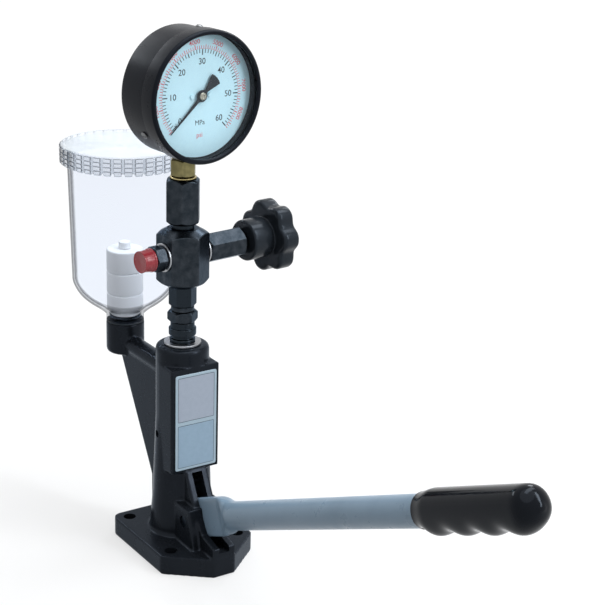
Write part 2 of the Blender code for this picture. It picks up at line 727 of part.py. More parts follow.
def casting_slot():
    low = (-SPRING_BORE_RADIUS + SINK, -SLOT_HALF_WIDTH, SLOT_FLOOR)
    deep = block("slot_cut", low, (PLATE_NOSE - NOSE_WALL, SLOT_HALF_WIDTH, SLOT_TOP))
    shallow = block(
        "nose_cut",
        (0.0, -SLOT_HALF_WIDTH, NOSE_FLOOR),
        (PLATE_NOSE + OVERRUN, SLOT_HALF_WIDTH, SLOT_TOP),
    )
    return deep, shallow


def casting_bores():
    low = bore_mesh(SPRING_BORE_RADIUS, SPRING_BORE_BOTTOM, SPRING_BORE_TOP, MIDDLE)
    high = bore_mesh(BARREL_RADIUS + FIT, SPRING_BORE_TOP - SINK, COLUMN_HEIGHT + OVERRUN, MIDDLE)
    cup = bore_mesh(NIPPLE_RADIUS + FIT, BOSS_TOP - NIPPLE_DEPTH - SINK, BOSS_TOP + OVERRUN, COARSE)
    way = bore_mesh(OIL_WAY_RADIUS, BARREL_RADIUS - SINK, -CUP_AXIS_X, SMALL)
    return (
        piece("spring_bore_cut", low, None),
        piece("barrel_bore_cut", high, None),
        piece("nipple_bore_cut", cup, None, place=(CUP_AXIS_X, 0.0, 0.0)),
        piece("oil_way_cut", way, None, place=(0.0, 0.0, ARM_HEIGHT), turn=(0.0, -math.pi / 2.0, 0.0)),
    )


def casting_holes():
    """Four bolt holes, the pivot's cross hole and the lock screw's hole."""
    made = []
    reach = [(BOLT_HOLE_RADIUS, -OVERRUN), (BOLT_HOLE_RADIUS, PLATE_HEIGHT + OVERRUN)]
    for i, (x, side) in enumerate(((-BOLT_REAR, -1), (-BOLT_REAR, 1), (BOLT_FRONT, -1), (BOLT_FRONT, 1))):
        made.append(turned(f"bolt_cut_{i}", reach, SMALL, None, place=(x, side * BOLT_SIDE, 0.0)))
    half = SHOULDER_HALF_WIDTH + OVERRUN
    pin = bore_mesh(PIN_RADIUS + FIT, -half, half, COARSE)
    made.append(piece("pivot_cut", pin, None, place=(PIVOT_X, 0.0, PIVOT_Z), turn=(math.pi / 2.0, 0.0, 0.0)))
    screw = bore_mesh(LOCK_SCREW_RADIUS + FIT, 0.0, COLUMN_LOW_RADIUS + OVERRUN, SMALL)
    turn = (0.0, math.pi / 2.0, LOCK_SCREW_ANGLE)
    made.append(piece("lock_screw_cut", screw, None, place=(0.0, 0.0, LOCK_SCREW_HEIGHT), turn=turn))
    return made


def make_casting(finish):
    body = casting_plate(finish["casting"])
    add(body, casting_column(), casting_web(), casting_arm(), casting_boss())
    add(body, casting_pad(), casting_shoulders(), casting_cheeks())
    cut(body, casting_pad_face(), *casting_slot(), *casting_bores(), *casting_holes())


def make_label(finish):
    outline = rounded_rectangle(LABEL_HEIGHT / 2.0, LABEL_HALF_WIDTH, LABEL_CORNER)
    middle = PAD_BOTTOM + LABEL_RAISE + LABEL_HEIGHT / 2.0
    turn = (0.0, math.pi / 2.0, 0.0)
    bm = prism_mesh(outline, GAP, GAP + LABEL_THICKNESS)
    piece("label_plate", bm, finish["label"], place=(PAD_FRONT, 0.0, middle), turn=turn)


def make_lock_screw(finish):
    """Grub screw through the column wall that keeps the barrel from turning."""
    tip = BARREL_RADIUS + FIT + GAP
    head = COLUMN_TOP_RADIUS - FORK_BEVEL
    profile = [(LOCK_SCREW_RADIUS, tip), (LOCK_SCREW_RADIUS, head)]
    profile += [(LOCK_SCREW_RADIUS / 2.0, head), (LOCK_SCREW_RADIUS / 2.0, head - FORK_BEVEL)]
    where = {"place": (0.0, 0.0, LOCK_SCREW_HEIGHT), "turn": (0.0, math.pi / 2.0, LOCK_SCREW_ANGLE)}
    turned("barrel_lock_screw", profile, SMALL, finish["blackened"], **where)


def make_pump(finish):
    stroke = frame("plunger_stroke", (0.0, 0.0, TAPPET_BOTTOM))
    guide_radius = SPRING_BORE_RADIUS - TAPPET_PLAY
    profile = [
        (TAPPET_BUTTON_RADIUS, 0.0),
        (TAPPET_BUTTON_RADIUS, TAPPET_SHOULDER - TAPPET_BOTTOM),
        (guide_radius, TAPPET_SHOULDER - TAPPET_BOTTOM),
        (guide_radius, TAPPET_TOP - TAPPET_BOTTOM),
    ]
    turned("tappet", profile, MIDDLE, finish["steel"], parent=stroke)
    foot = TAPPET_TOP + GAP - TAPPET_BOTTOM
    profile = [
        (PLUNGER_FOOT_RADIUS, foot),
        (PLUNGER_FOOT_RADIUS, foot + PLUNGER_FOOT_HEIGHT),
        (PLUNGER_RADIUS, foot + PLUNGER_FOOT_HEIGHT),
        (PLUNGER_RADIUS, PLUNGER_TOP - TAPPET_BOTTOM),
    ]
    turned("pump_plunger", profile, COARSE, finish["steel"], parent=stroke)
    coil = spring_mesh(
        SPRING_RADIUS, SPRING_WIRE_RADIUS, TAPPET_TOP + GAP, SEAT_BOTTOM - GAP, SPRING_TURNS, SPRING_STEPS, 5
    )
    piece("plunger_spring", coil, finish["spring"])
    seat = tube_profile(SEAT_RADIUS, PLUNGER_RADIUS + SINK, SEAT_BOTTOM, SEAT_TOP)
    turned("spring_seat", seat, COARSE, finish["steel"], through=True)
    socket_floor = FLANGE_TOP - HOLDER_TAIL - GAP
    profile = [
        (PLUNGER_RADIUS + FIT, BARREL_BOTTOM),
        (BARREL_RADIUS, BARREL_BOTTOM),
        (BARREL_RADIUS, FLANGE_BOTTOM),
        (BARREL_FLANGE_RADIUS, FLANGE_BOTTOM),
        (BARREL_FLANGE_RADIUS, FLANGE_TOP),
        (BARREL_SOCKET_RADIUS, FLANGE_TOP),
        (BARREL_SOCKET_RADIUS, socket_floor),
        (PLUNGER_RADIUS + FIT, socket_floor),
    ]
    barrel = turned("pump_barrel", profile, MIDDLE, finish["steel"], through=True)
    port = bore_mesh(FEED_PORT_RADIUS, 0.0, BARREL_RADIUS + OVERRUN, SMALL)
    turn = (0.0, -math.pi / 2.0, 0.0)
    cut(barrel, piece("feed_port_cut", port, None, place=(0.0, 0.0, ARM_HEIGHT), turn=turn))


def make_valve_holder(finish):
    """Holder screwed into the barrel; the outlet valve and its spring sit in its bore."""
    tail_bottom = FLANGE_TOP - HOLDER_TAIL
    chamber_top = tail_bottom + VALVE_CHAMBER_HEIGHT
    tail_radius = BARREL_SOCKET_RADIUS - FIT
    flange_top = HOLDER_BOTTOM + HOLDER_FLANGE_HEIGHT
    spigot_top = HOLDER_TOP + HOLDER_SPIGOT_HEIGHT
    profile = [
        (VALVE_CHAMBER_RADIUS, tail_bottom),
        (tail_radius, tail_bottom),
        (tail_radius, HOLDER_BOTTOM),
        (HOLDER_FLANGE_RADIUS, HOLDER_BOTTOM),
        (HOLDER_FLANGE_RADIUS, flange_top - HOLDER_EDGE),
        (HOLDER_FLANGE_RADIUS - HOLDER_EDGE, flange_top),
        (HOLDER_NECK_RADIUS, flange_top),
        (HOLDER_NECK_RADIUS, HOLDER_NECK_TOP),
        (HOLDER_COLLAR_RADIUS - HOLDER_EDGE, HOLDER_NECK_TOP),
        (HOLDER_COLLAR_RADIUS, HOLDER_NECK_TOP + HOLDER_EDGE),
        (HOLDER_COLLAR_RADIUS, HOLDER_COLLAR_TOP - HOLDER_EDGE),
        (HOLDER_COLLAR_RADIUS - HOLDER_EDGE, HOLDER_COLLAR_TOP),
        (HOLDER_UPPER_RADIUS, HOLDER_COLLAR_TOP),
        (HOLDER_UPPER_RADIUS, HOLDER_TOP),
        (HOLDER_SPIGOT_RADIUS, HOLDER_TOP),
        (HOLDER_SPIGOT_RADIUS, spigot_top),
        (PASSAGE_RADIUS, spigot_top),
        (PASSAGE_RADIUS, chamber_top),
        (VALVE_CHAMBER_RADIUS, chamber_top),
    ]
    turned("delivery_valve_holder", profile, MIDDLE, finish["blackened"], through=True)
    head_top = tail_bottom + VALVE_HEAD_HEIGHT
    valve = frame("delivery_valve_lift", (0.0, 0.0, tail_bottom))
    profile = [
        (VALVE_HEAD_RADIUS, 0.0),
        (VALVE_HEAD_RADIUS, VALVE_HEAD_HEIGHT),
        (VALVE_STEM_RADIUS, VALVE_HEAD_HEIGHT),
        (VALVE_STEM_RADIUS, VALVE_HEAD_HEIGHT + VALVE_STEM_HEIGHT),
    ]
    turned("delivery_valve", profile, SMALL, finish["steel"], parent=valve)
    coil = spring_mesh(
        VALVE_SPRING_RADIUS, VALVE_SPRING_WIRE, head_top + GAP, chamber_top - GAP, VALVE_SPRING_TURNS, 8, 4
    )
    piece("delivery_valve_spring", coil, finish["spring"])


def make_union_nut(finish):
    bore = HOLDER_SPIGOT_RADIUS + FIT
    face = NUT_FLATS / 2.0 - HOLDER_EDGE
    rings = [
        circle(bore, NUT_BOTTOM, MIDDLE),
        circle(face, NUT_BOTTOM, MIDDLE),
        hexagon(NUT_FLATS, NUT_BOTTOM, MIDDLE, NUT_CHAMFER, face, up=False),
        hexagon(NUT_FLATS, NUT_TOP, MIDDLE, NUT_CHAMFER, face),
        circle(face, NUT_TOP, MIDDLE),
        circle(bore, NUT_TOP, MIDDLE),
    ]
    piece("union_nut", ring_mesh(rings, through=True), finish["blackened"], turn=(0.0, 0.0, HEAD_TURN))


def make_manifold(finish, head):
    stem_face = STEM_FLATS / 2.0 - HOLDER_EDGE
    spigot_bottom = STEM_BOTTOM - STEM_SPIGOT_HEIGHT
    socket = ADAPTOR_SPIGOT_RADIUS + FIT
    socket_floor = BLOCK_TOP - ADAPTOR_SPIGOT_HEIGHT - GAP
    rings = [
        circle(PASSAGE_RADIUS, spigot_bottom, MIDDLE),
        circle(STEM_SPIGOT_RADIUS, spigot_bottom, MIDDLE),
        circle(STEM_SPIGOT_RADIUS, STEM_BOTTOM, MIDDLE),
        circle(STEM_NECK_RADIUS, STEM_BOTTOM, MIDDLE),
        circle(stem_face, STEM_HEX_BOTTOM, MIDDLE),
        hexagon(STEM_FLATS, STEM_HEX_BOTTOM, MIDDLE, STEM_CHAMFER, stem_face, up=False),
        hexagon(STEM_FLATS, BLOCK_BOTTOM, MIDDLE),
        circle(BLOCK_ROUND_RADIUS, BLOCK_BOTTOM, MIDDLE),
        hexagon(BLOCK_FLATS, BLOCK_BOTTOM, MIDDLE, BLOCK_CHAMFER, BLOCK_ROUND_RADIUS, up=False),
        hexagon(BLOCK_FLATS, BLOCK_TOP, MIDDLE, BLOCK_CHAMFER, BLOCK_ROUND_RADIUS),
        circle(BLOCK_ROUND_RADIUS, BLOCK_TOP, MIDDLE),
        circle(socket, BLOCK_TOP, MIDDLE),
        circle(socket, socket_floor, MIDDLE),
        circle(PASSAGE_RADIUS, socket_floor, MIDDLE),
    ]
    body = piece("manifold", ring_mesh(rings, through=True), finish["blackened"], parent=head)
    end = BLOCK_FACE + OVERRUN
    outlet = bore_mesh(CROSS_BORE_RADIUS, BLOCK_FACE - OUTLET_SPIGOT_LENGTH - GAP, end, COARSE)
    valve = bore_mesh(CROSS_BORE_RADIUS, BLOCK_FACE - VALVE_SPIGOT_LENGTH - GAP, end, COARSE)
    gallery = bore_mesh(GALLERY_RADIUS, -BLOCK_FACE / 2.0, BLOCK_FACE / 2.0, SMALL)
    where = {"parent": head, "place": (0.0, 0.0, CROSS_HEIGHT)}
    towards_outlet = (math.pi / 2.0, 0.0, 0.0)
    towards_valve = (-math.pi / 2.0, 0.0, 0.0)
    cut(
        body,
        piece("outlet_bore_cut", outlet, None, turn=towards_outlet, **where),
        piece("valve_bore_cut", valve, None, turn=towards_valve, **where),
        piece("gallery_cut", gallery, None, turn=towards_valve, **where),
    )


def make_adaptor(finish, head):
    spigot_bottom = ADAPTOR_BOTTOM - ADAPTOR_SPIGOT_HEIGHT
    socket_floor = ADAPTOR_TOP - ADAPTOR_SOCKET_DEPTH
    face = ADAPTOR_FLATS / 2.0 - HOLDER_EDGE
    rings = [
        circle(PASSAGE_RADIUS, spigot_bottom, MIDDLE),
        circle(ADAPTOR_SPIGOT_RADIUS, spigot_bottom, MIDDLE),
        circle(ADAPTOR_SPIGOT_RADIUS, ADAPTOR_BOTTOM, MIDDLE),
        circle(ADAPTOR_NECK_RADIUS, ADAPTOR_BOTTOM, MIDDLE),
        circle(ADAPTOR_NECK_RADIUS, ADAPTOR_HEX_BOTTOM, MIDDLE),
        circle(face, ADAPTOR_HEX_BOTTOM, MIDDLE),
        hexagon(ADAPTOR_FLATS, ADAPTOR_HEX_BOTTOM, MIDDLE, ADAPTOR_CHAMFER, face, up=False),
        hexagon(ADAPTOR_FLATS, ADAPTOR_TOP, MIDDLE, ADAPTOR_CHAMFER, face),
        circle(face, ADAPTOR_TOP, MIDDLE),
        circle(ADAPTOR_SOCKET_RADIUS, ADAPTOR_TOP, MIDDLE),
        circle(ADAPTOR_SOCKET_RADIUS, socket_floor, MIDDLE),
        circle(PASSAGE_RADIUS, socket_floor, MIDDLE),
    ]
    where = {"parent": head, "turn": (0.0, 0.0, ADAPTOR_TURN)}
    piece("gauge_adaptor", ring_mesh(rings, through=True), finish["blackened"], **where)
    low = WASHER_BOTTOM
    profile = tube_profile(GAUGE_WASHER_RADIUS, ADAPTOR_SOCKET_RADIUS, low, low + GAUGE_WASHER_THICKNESS)
    turned("gauge_washer", profile, MIDDLE, finish["copper"], through=True, parent=head)


def make_outlet(finish, outlet):
    """Outlet nipple with its washer and the red cap that keeps it clean."""
    low = BLOCK_FACE + GAP
    profile = tube_profile(WASHER_RADIUS, OUTLET_SPIGOT_RADIUS + FIT, low, low + WASHER_THICKNESS)
    turned("outlet_washer", profile, MIDDLE, finish["steel"], through=True, parent=outlet)
    hex_low = low + WASHER_THICKNESS + GAP
    hex_high = hex_low + OUTLET_HEX_LENGTH
    tip = hex_high + OUTLET_NECK_LENGTH
    start = BLOCK_FACE - OUTLET_SPIGOT_LENGTH
    face = OUTLET_HEX_FLATS / 2.0 - HOLDER_EDGE / 2.0
    rings = [
        circle(PASSAGE_RADIUS, start, MIDDLE),
        circle(OUTLET_SPIGOT_RADIUS, start, MIDDLE),
        circle(OUTLET_SPIGOT_RADIUS, hex_low, MIDDLE),
        circle(face, hex_low, MIDDLE),
        hexagon(OUTLET_HEX_FLATS, hex_low, MIDDLE, OUTLET_HEX_CHAMFER, face, up=False),
        hexagon(OUTLET_HEX_FLATS, hex_high, MIDDLE, OUTLET_HEX_CHAMFER, face),
        circle(face, hex_high, MIDDLE),
        circle(OUTLET_NECK_RADIUS, hex_high, MIDDLE),
        circle(OUTLET_NECK_RADIUS, tip, MIDDLE),
        circle(PASSAGE_RADIUS, tip, MIDDLE),
    ]
    piece("outlet_nipple", ring_mesh(rings, through=True), finish["blackened"], parent=outlet)
    pull = frame("outlet_cap_pull", (0.0, 0.0, hex_high + GAP), parent=outlet)
    inner = OUTLET_NECK_RADIUS + FIT
    profile = [
        (inner, 0.0),
        (CAP_WIDE_RADIUS, 0.0),
        (CAP_WIDE_RADIUS, CAP_LIP),
        (CAP_TIP_RADIUS - CAP_LIP / 4.0, CAP_LENGTH - CAP_LIP),
        (CAP_TIP_RADIUS, CAP_LENGTH - CAP_LIP),
        (CAP_TIP_RADIUS, CAP_LENGTH),
    ]
    bm = turned_mesh(profile + [(CAP_TIP_RADIUS / 2.0, CAP_LENGTH)], MIDDLE)
    ends = [item for item in bm.faces if len(item.verts) == MIDDLE]
    closing = [item for item in ends if item.calc_center_median().z < CAP_LIP / 2.0]
    bmesh.ops.delete(bm, geom=closing, context="FACES_ONLY")
    add_blind_bore(bm, inner, OUTLET_NECK_LENGTH + GAP)
    piece("outlet_cap", bm, finish["cap"], parent=pull)


def add_blind_bore(bm, radius, depth):
    """Runs a blind bore into a turned piece from its open ring at height 0."""
    mouth = [vert for vert in bm.verts if abs(vert.co.z) < GAP and vert.co.xy.length < radius + FIT]
    mouth.sort(key=lambda vert: math.atan2(vert.co.y, vert.co.x) % (2.0 * math.pi))
    floor = [bm.verts.new((vert.co.x, vert.co.y, depth)) for vert in mouth]
    count = len(mouth)
    for i in range(count):
        j = (i + 1) % count
        bm.faces.new((mouth[j], mouth[i], floor[i], floor[j]))
    bm.faces.new(floor)


def make_shutoff(finish, valve):
    """Shut-off valve: hexagonal body, gland, spindle and the needle that the spindle drives."""
    low = BLOCK_FACE + GAP
    profile = tube_profile(WASHER_RADIUS, OUTLET_SPIGOT_RADIUS + FIT, low, low + WASHER_THICKNESS)
    turned("valve_washer", profile, MIDDLE, finish["steel"], through=True, parent=valve)
    hex_low = low + WASHER_THICKNESS + GAP
    hex_high = hex_low + VALVE_HEX_LENGTH
    start = BLOCK_FACE - VALVE_SPIGOT_LENGTH
    face = VALVE_HEX_FLATS / 2.0 - HOLDER_EDGE
    seat = start + NEEDLE_TIP_LENGTH
    rings = [
        circle(PASSAGE_RADIUS, start, MIDDLE),
        circle(OUTLET_SPIGOT_RADIUS, start, MIDDLE),
        circle(OUTLET_SPIGOT_RADIUS, hex_low, MIDDLE),
        circle(face, hex_low, MIDDLE),
        hexagon(VALVE_HEX_FLATS, hex_low, MIDDLE, VALVE_HEX_CHAMFER, face, up=False),
        hexagon(VALVE_HEX_FLATS, hex_high, MIDDLE, VALVE_HEX_CHAMFER, face),
        circle(face, hex_high, MIDDLE),
        circle(VALVE_BORE_RADIUS, hex_high, MIDDLE),
        circle(VALVE_BORE_RADIUS, hex_low, MIDDLE),
        circle(NEEDLE_SEAT_RADIUS, hex_low, MIDDLE),
        circle(NEEDLE_SEAT_RADIUS, seat, MIDDLE),
        circle(PASSAGE_RADIUS, seat, MIDDLE),
    ]
    where = {"parent": valve, "turn": (0.0, 0.0, VALVE_HEX_TURN)}
    piece("valve_body", ring_mesh(rings, through=True), finish["blackened"], **where)
    gland_low = hex_high + GAP
    gland_high = gland_low + GLAND_LENGTH
    bore = SPINDLE_RADIUS + FIT
    profile = [
        (bore, hex_high - GLAND_TAIL),
        (VALVE_BORE_RADIUS - FIT, hex_high - GLAND_TAIL),
        (VALVE_BORE_RADIUS - FIT, gland_low),
        (GLAND_RADIUS, gland_low),
        (GLAND_RADIUS, gland_high),
        (bore, gland_high),
    ]
    turned("gland_nut", profile, COARSE, finish["blackened"], through=True, parent=valve)
    return hex_high, gland_high, seat


def make_spindle(finish, turn, hex_high, gland_high, seat):
    """Spindle, its knob and the screw that holds the knob; all of them turn together."""
    head_high = hex_high - GLAND_TAIL - GAP
    head_low = head_high - SPINDLE_HEAD_LENGTH
    end = gland_high + GAP + KNOB_COLLAR_LENGTH + KNOB_NECK_LENGTH
    profile = [
        (SPINDLE_HEAD_RADIUS, head_low),
        (SPINDLE_HEAD_RADIUS, head_high),
        (SPINDLE_RADIUS, head_high),
        (SPINDLE_RADIUS, end),
    ]
    turned("valve_spindle", profile, COARSE, finish["steel"], parent=turn)
    make_knob(finish, turn, gland_high + GAP, end)
    lift = frame("needle_lift", (0.0, 0.0, seat + GAP), parent=turn.parent)
    top = head_low - NEEDLE_LIFT - GAP - seat - GAP
    profile = [
        (NEEDLE_TIP_RADIUS, 0.0),
        (NEEDLE_RADIUS, NEEDLE_TIP_LENGTH),
        (NEEDLE_RADIUS, top),
    ]
    turned("valve_needle", profile, SMALL, finish["steel"], parent=lift)


def star_ring(level, shrink, blend):
    """One ring of the knob, from round (blend 0) to full lobes (blend 1)."""
    count = KNOB_LOBES * KNOB_STEPS
    points = []
    for i in range(count):
        angle = 2.0 * math.pi * i / count
        wave = (1.0 - math.cos(KNOB_LOBES * (angle - KNOB_PHASE))) / 2.0
        lobe = KNOB_RADIUS - shrink - KNOB_LOBE_DEPTH * wave ** 1.4
        reach = KNOB_NECK_RADIUS + (lobe - KNOB_NECK_RADIUS) * blend
        points.append(Vector((reach * math.cos(angle), reach * math.sin(angle), level)))
    return points


def make_knob(finish, turn, start, spindle_end):
    count = KNOB_LOBES * KNOB_STEPS
    collar_high = start + KNOB_COLLAR_LENGTH
    disc_low = collar_high + KNOB_NECK_LENGTH
    disc_high = disc_low + KNOB_DISC_THICKNESS
    bore = SPINDLE_RADIUS + FIT
    screw_bore = KNOB_SCREW_RADIUS / 2.0 + FIT
    rings = [
        circle(bore, start, count),
        circle(KNOB_COLLAR_RADIUS - KNOB_EDGE / 2.0, start, count),
        circle(KNOB_COLLAR_RADIUS, start + KNOB_EDGE / 2.0, count),
        circle(KNOB_COLLAR_RADIUS, collar_high - KNOB_EDGE / 2.0, count),
        circle(KNOB_NECK_RADIUS, collar_high, count),
        star_ring(disc_low, KNOB_EDGE, 1.0),
        star_ring(disc_low + KNOB_EDGE, 0.0, 1.0),
        star_ring(disc_high - KNOB_EDGE, 0.0, 1.0),
        star_ring(disc_high, KNOB_EDGE, 1.0),
        circle(screw_bore, disc_high, count),
        circle(screw_bore, spindle_end + GAP, count),
        circle(bore, spindle_end + GAP, count),
    ]
    piece("hand_knob", ring_mesh(rings, through=True), finish["plastic"], parent=turn)
    shank = spindle_end + 2.0 * GAP
    profile = [
        (KNOB_SCREW_RADIUS / 2.0, shank),
        (KNOB_SCREW_RADIUS / 2.0, disc_high + GAP),
        (KNOB_SCREW_RADIUS, disc_high + GAP),
        (KNOB_SCREW_RADIUS, disc_high + GAP + KNOB_SCREW_HEAD),
    ]
    turned("knob_screw", profile, SMALL, finish["steel"], parent=turn)


def make_gauge_shell(finish, gauge):
    """Case, bezel and window; the gauge's axis is the frame's Z, towards the reader."""
    inner = CASE_RADIUS - CASE_WALL
    profile = rounded_end(CASE_RADIUS, CASE_REAR_X, CASE_ROUND, 3, up=False)
    profile += [(CASE_RADIUS, CASE_FRONT_X), (inner, CASE_FRONT_X), (inner, CASE_REAR_X + CASE_WALL)]
    case = turned("gauge_case", profile, FINE, finish["case"], parent=gauge)
    stem_hole = bore_mesh(BRASS_NECK_RADIUS + GAP, 0.0, CASE_RADIUS + OVERRUN, COARSE)
    cut(case, piece("stem_hole_cut", stem_hole, None, parent=gauge, turn=(0.0, math.pi / 2.0, 0.0)))
    for i, angle in enumerate(CASE_SCREW_ANGLES):
        hole = bore_mesh(CASE_SCREW_SHANK + FIT, inner - OVERRUN, CASE_RADIUS + OVERRUN, SMALL)
        where = {"parent": gauge, "place": (0.0, 0.0, CASE_SCREW_X), "turn": radial_turn(angle)}
        cut(case, piece(f"case_screw_cut_{i}", hole, None, **where))
    skirt_inner = CASE_RADIUS + GAP
    skirt_low = CASE_FRONT_X - BEZEL_SKIRT
    lip_low = BEZEL_FRONT_X - BEZEL_LIP
    profile = [
        (skirt_inner, skirt_low),
        (BEZEL_RADIUS, skirt_low),
        (BEZEL_RADIUS, BEZEL_FRONT_X - CASE_WALL),
        (BEZEL_RADIUS - CASE_WALL, BEZEL_FRONT_X),
        (BEZEL_LIP_RADIUS + CASE_WALL / 2.0, BEZEL_FRONT_X),
        (BEZEL_LIP_RADIUS, BEZEL_FRONT_X - CASE_WALL / 2.0),
        (BEZEL_LIP_RADIUS, lip_low),
        (skirt_inner, lip_low),
    ]
    turned("gauge_bezel", profile, FINE, finish["case"], through=True, parent=gauge)
    low = CASE_FRONT_X + GAP
    profile = [(WINDOW_RADIUS, low), (WINDOW_RADIUS, low + WINDOW_THICKNESS)]
    turned("gauge_window", profile, FINE, finish["glass"], parent=gauge)


def radial_turn(angle):
    """Turns a piece's Z into the gauge face's radial direction, counted from the reader's right."""
    tip = Matrix.Rotation(math.pi / 2.0, 4, "X")
    return (Matrix.Rotation(angle + math.pi, 4, "Z") @ tip).to_euler()


def make_gauge_screws(finish, gauge):
    for i, angle in enumerate(CASE_SCREW_ANGLES):
        low = CASE_RADIUS - CASE_WALL - CASE_WALL
        head = CASE_RADIUS + GAP
        profile = [
            (CASE_SCREW_SHANK, low),
            (CASE_SCREW_SHANK, head),
            (CASE_SCREW_RADIUS, head),
            (CASE_SCREW_RADIUS, head + CASE_SCREW_HEAD / 2.0),
            (CASE_SCREW_RADIUS - CASE_SCREW_HEAD / 2.0, head + CASE_SCREW_HEAD),
        ]
        where = {"parent": gauge, "place": (0.0, 0.0, CASE_SCREW_X), "turn": radial_turn(angle)}
        turned(f"case_screw_{i + 1}", profile, SMALL, finish["steel"], **where)
    front = DIAL_X + DIAL_THICKNESS + GAP
    plate_front = MOVEMENT_X + MOVEMENT_SPACE + 2.0 * MOVEMENT_PLATE
    for i, side in enumerate((-1, 1)):
        profile = [
            (DIAL_SCREW_RADIUS / 2.0, plate_front + GAP),
            (DIAL_SCREW_RADIUS / 2.0, front),
            (DIAL_SCREW_RADIUS, front),
            (DIAL_SCREW_RADIUS, front + DIAL_SCREW_HEAD),
        ]
        place = (0.0, side * DIAL_SCREW_SPREAD, 0.0)
        turned(f"dial_screw_{i + 1}", profile, SMALL, finish["steel"], parent=gauge, place=place)


def make_dial(finish, gauge):
    profile = tube_profile(DIAL_RADIUS, DIAL_HOLE_RADIUS, DIAL_X, DIAL_X + DIAL_THICKNESS)
    dial = turned("gauge_dial", profile, FINE, finish["dial"], through=True, parent=gauge)
    for i, side in enumerate((-1, 1)):
        radius = DIAL_SCREW_RADIUS / 2.0 + FIT
        hole = turned_mesh([(radius, DIAL_X - OVERRUN), (radius, DIAL_X + OVERRUN)], SMALL)
        place = (0.0, side * DIAL_SCREW_SPREAD, 0.0)
        cut(dial, piece(f"dial_hole_cut_{i}", hole, None, parent=gauge, place=place))


def make_pointer(finish, sweep):
    """Pointer and the pinion shaft that it is pressed on; both turn about the frame's Z."""
    high = POINTER_X + POINTER_THICKNESS
    outline = [
        (-POINTER_TAIL, -POINTER_FAN),
        (-POINTER_HUB_RADIUS, -POINTER_ROOT),
        (POINTER_HUB_RADIUS, -POINTER_ROOT),
        (POINTER_LENGTH, -POINTER_TIP),
        (POINTER_LENGTH, POINTER_TIP),
        (POINTER_HUB_RADIUS, POINTER_ROOT),
        (-POINTER_HUB_RADIUS, POINTER_ROOT),
        (-POINTER_TAIL, POINTER_FAN),
    ]
    pointer = piece("gauge_pointer", prism_mesh(outline, POINTER_X, high), finish["pointer"], parent=sweep)
    shaft_hole = SHAFT_RADIUS + FIT
    hub = bore_mesh(POINTER_HUB_RADIUS, POINTER_X - FIT, high + POINTER_HUB_HEIGHT, COARSE)
    add(pointer, piece("pointer_hub_shape", hub, None, parent=sweep))
    hole = turned_mesh([(shaft_hole, POINTER_X - OVERRUN), (shaft_hole, high)], SMALL)
    cut(pointer, piece("pointer_hole_cut", hole, None, parent=sweep))
    gear_low = MOVEMENT_X + MOVEMENT_PLATE + GAP
    gear_high = MOVEMENT_X + MOVEMENT_PLATE + MOVEMENT_SPACE - GAP
    profile = [
        (SHAFT_RADIUS, MOVEMENT_X),
        (SHAFT_RADIUS, gear_low),
        (PINION_RADIUS, gear_low),
        (PINION_RADIUS, gear_high),
        (SHAFT_RADIUS, gear_high),
        (SHAFT_RADIUS, high - GAP),
    ]
    turned("pinion_shaft", profile, SMALL, finish["steel"], parent=sweep)


def make_movement(finish, gauge, sector_swing):
    """Movement frame behind the dial, its tongue in front of the stem's socket, and the sector."""
    rear = MOVEMENT_X
    front = MOVEMENT_X + MOVEMENT_PLATE + MOVEMENT_SPACE
    drop = SECTOR_DROP + SOCKET_HALF
    body = block(
        "movement_frame",
        (-MOVEMENT_TOP, -MOVEMENT_HALF_WIDTH, rear),
        (drop, MOVEMENT_HALF_WIDTH, front + MOVEMENT_PLATE),
        finish["brass"],
        parent=gauge,
    )
    room = block(
        "movement_room_cut",
        (-MOVEMENT_TOP + CASE_WALL, -MOVEMENT_HALF_WIDTH - OVERRUN, rear + MOVEMENT_PLATE),
        (drop - CASE_WALL, MOVEMENT_HALF_WIDTH + OVERRUN, front),
        parent=gauge,
    )
    tongue = block(
        "movement_tongue_shape",
        (drop - SINK, -TONGUE_HALF_WIDTH, rear),
        (TONGUE_REACH, TONGUE_HALF_WIDTH, rear + MOVEMENT_PLATE),
        parent=gauge,
    )
    add(body, tongue)
    shaft_bore = [(SHAFT_RADIUS + FIT, rear - OVERRUN), (SHAFT_RADIUS + FIT, front + OVERRUN)]
    pinion_bore = turned_mesh(shaft_bore, SMALL)
    sector_bore = turned_mesh(shaft_bore, SMALL)
    cut(
        body,
        room,
        piece("pinion_bore_cut", pinion_bore, None, parent=gauge),
        piece("sector_bore_cut", sector_bore, None, parent=gauge, place=(SECTOR_DROP, 0.0, 0.0)),
    )
    low = rear + MOVEMENT_PLATE + MOVEMENT_SPACE / 2.0
    rim = arc((0.0, 0.0), SECTOR_RADIUS, math.pi - SECTOR_HALF_ANGLE, math.pi + SECTOR_HALF_ANGLE, 8)
    outline = [(SHAFT_RADIUS, SHAFT_RADIUS * 2.0), (0.0, SHAFT_RADIUS * 2.5)] + rim
    outline += [(0.0, -SHAFT_RADIUS * 2.5), (SHAFT_RADIUS, -SHAFT_RADIUS * 2.0)]
    plate = prism_mesh(outline, low, low + SECTOR_THICKNESS)
    sector = piece("sector_gear", plate, finish["brass"], parent=sector_swing)
    axle_low = rear + GAP
    axle_high = front + MOVEMENT_PLATE - GAP
    axle = turned_mesh([(SHAFT_RADIUS, axle_low), (SHAFT_RADIUS, axle_high)], SMALL)
    add(sector, piece("sector_axle_shape", axle, None, parent=sector_swing))


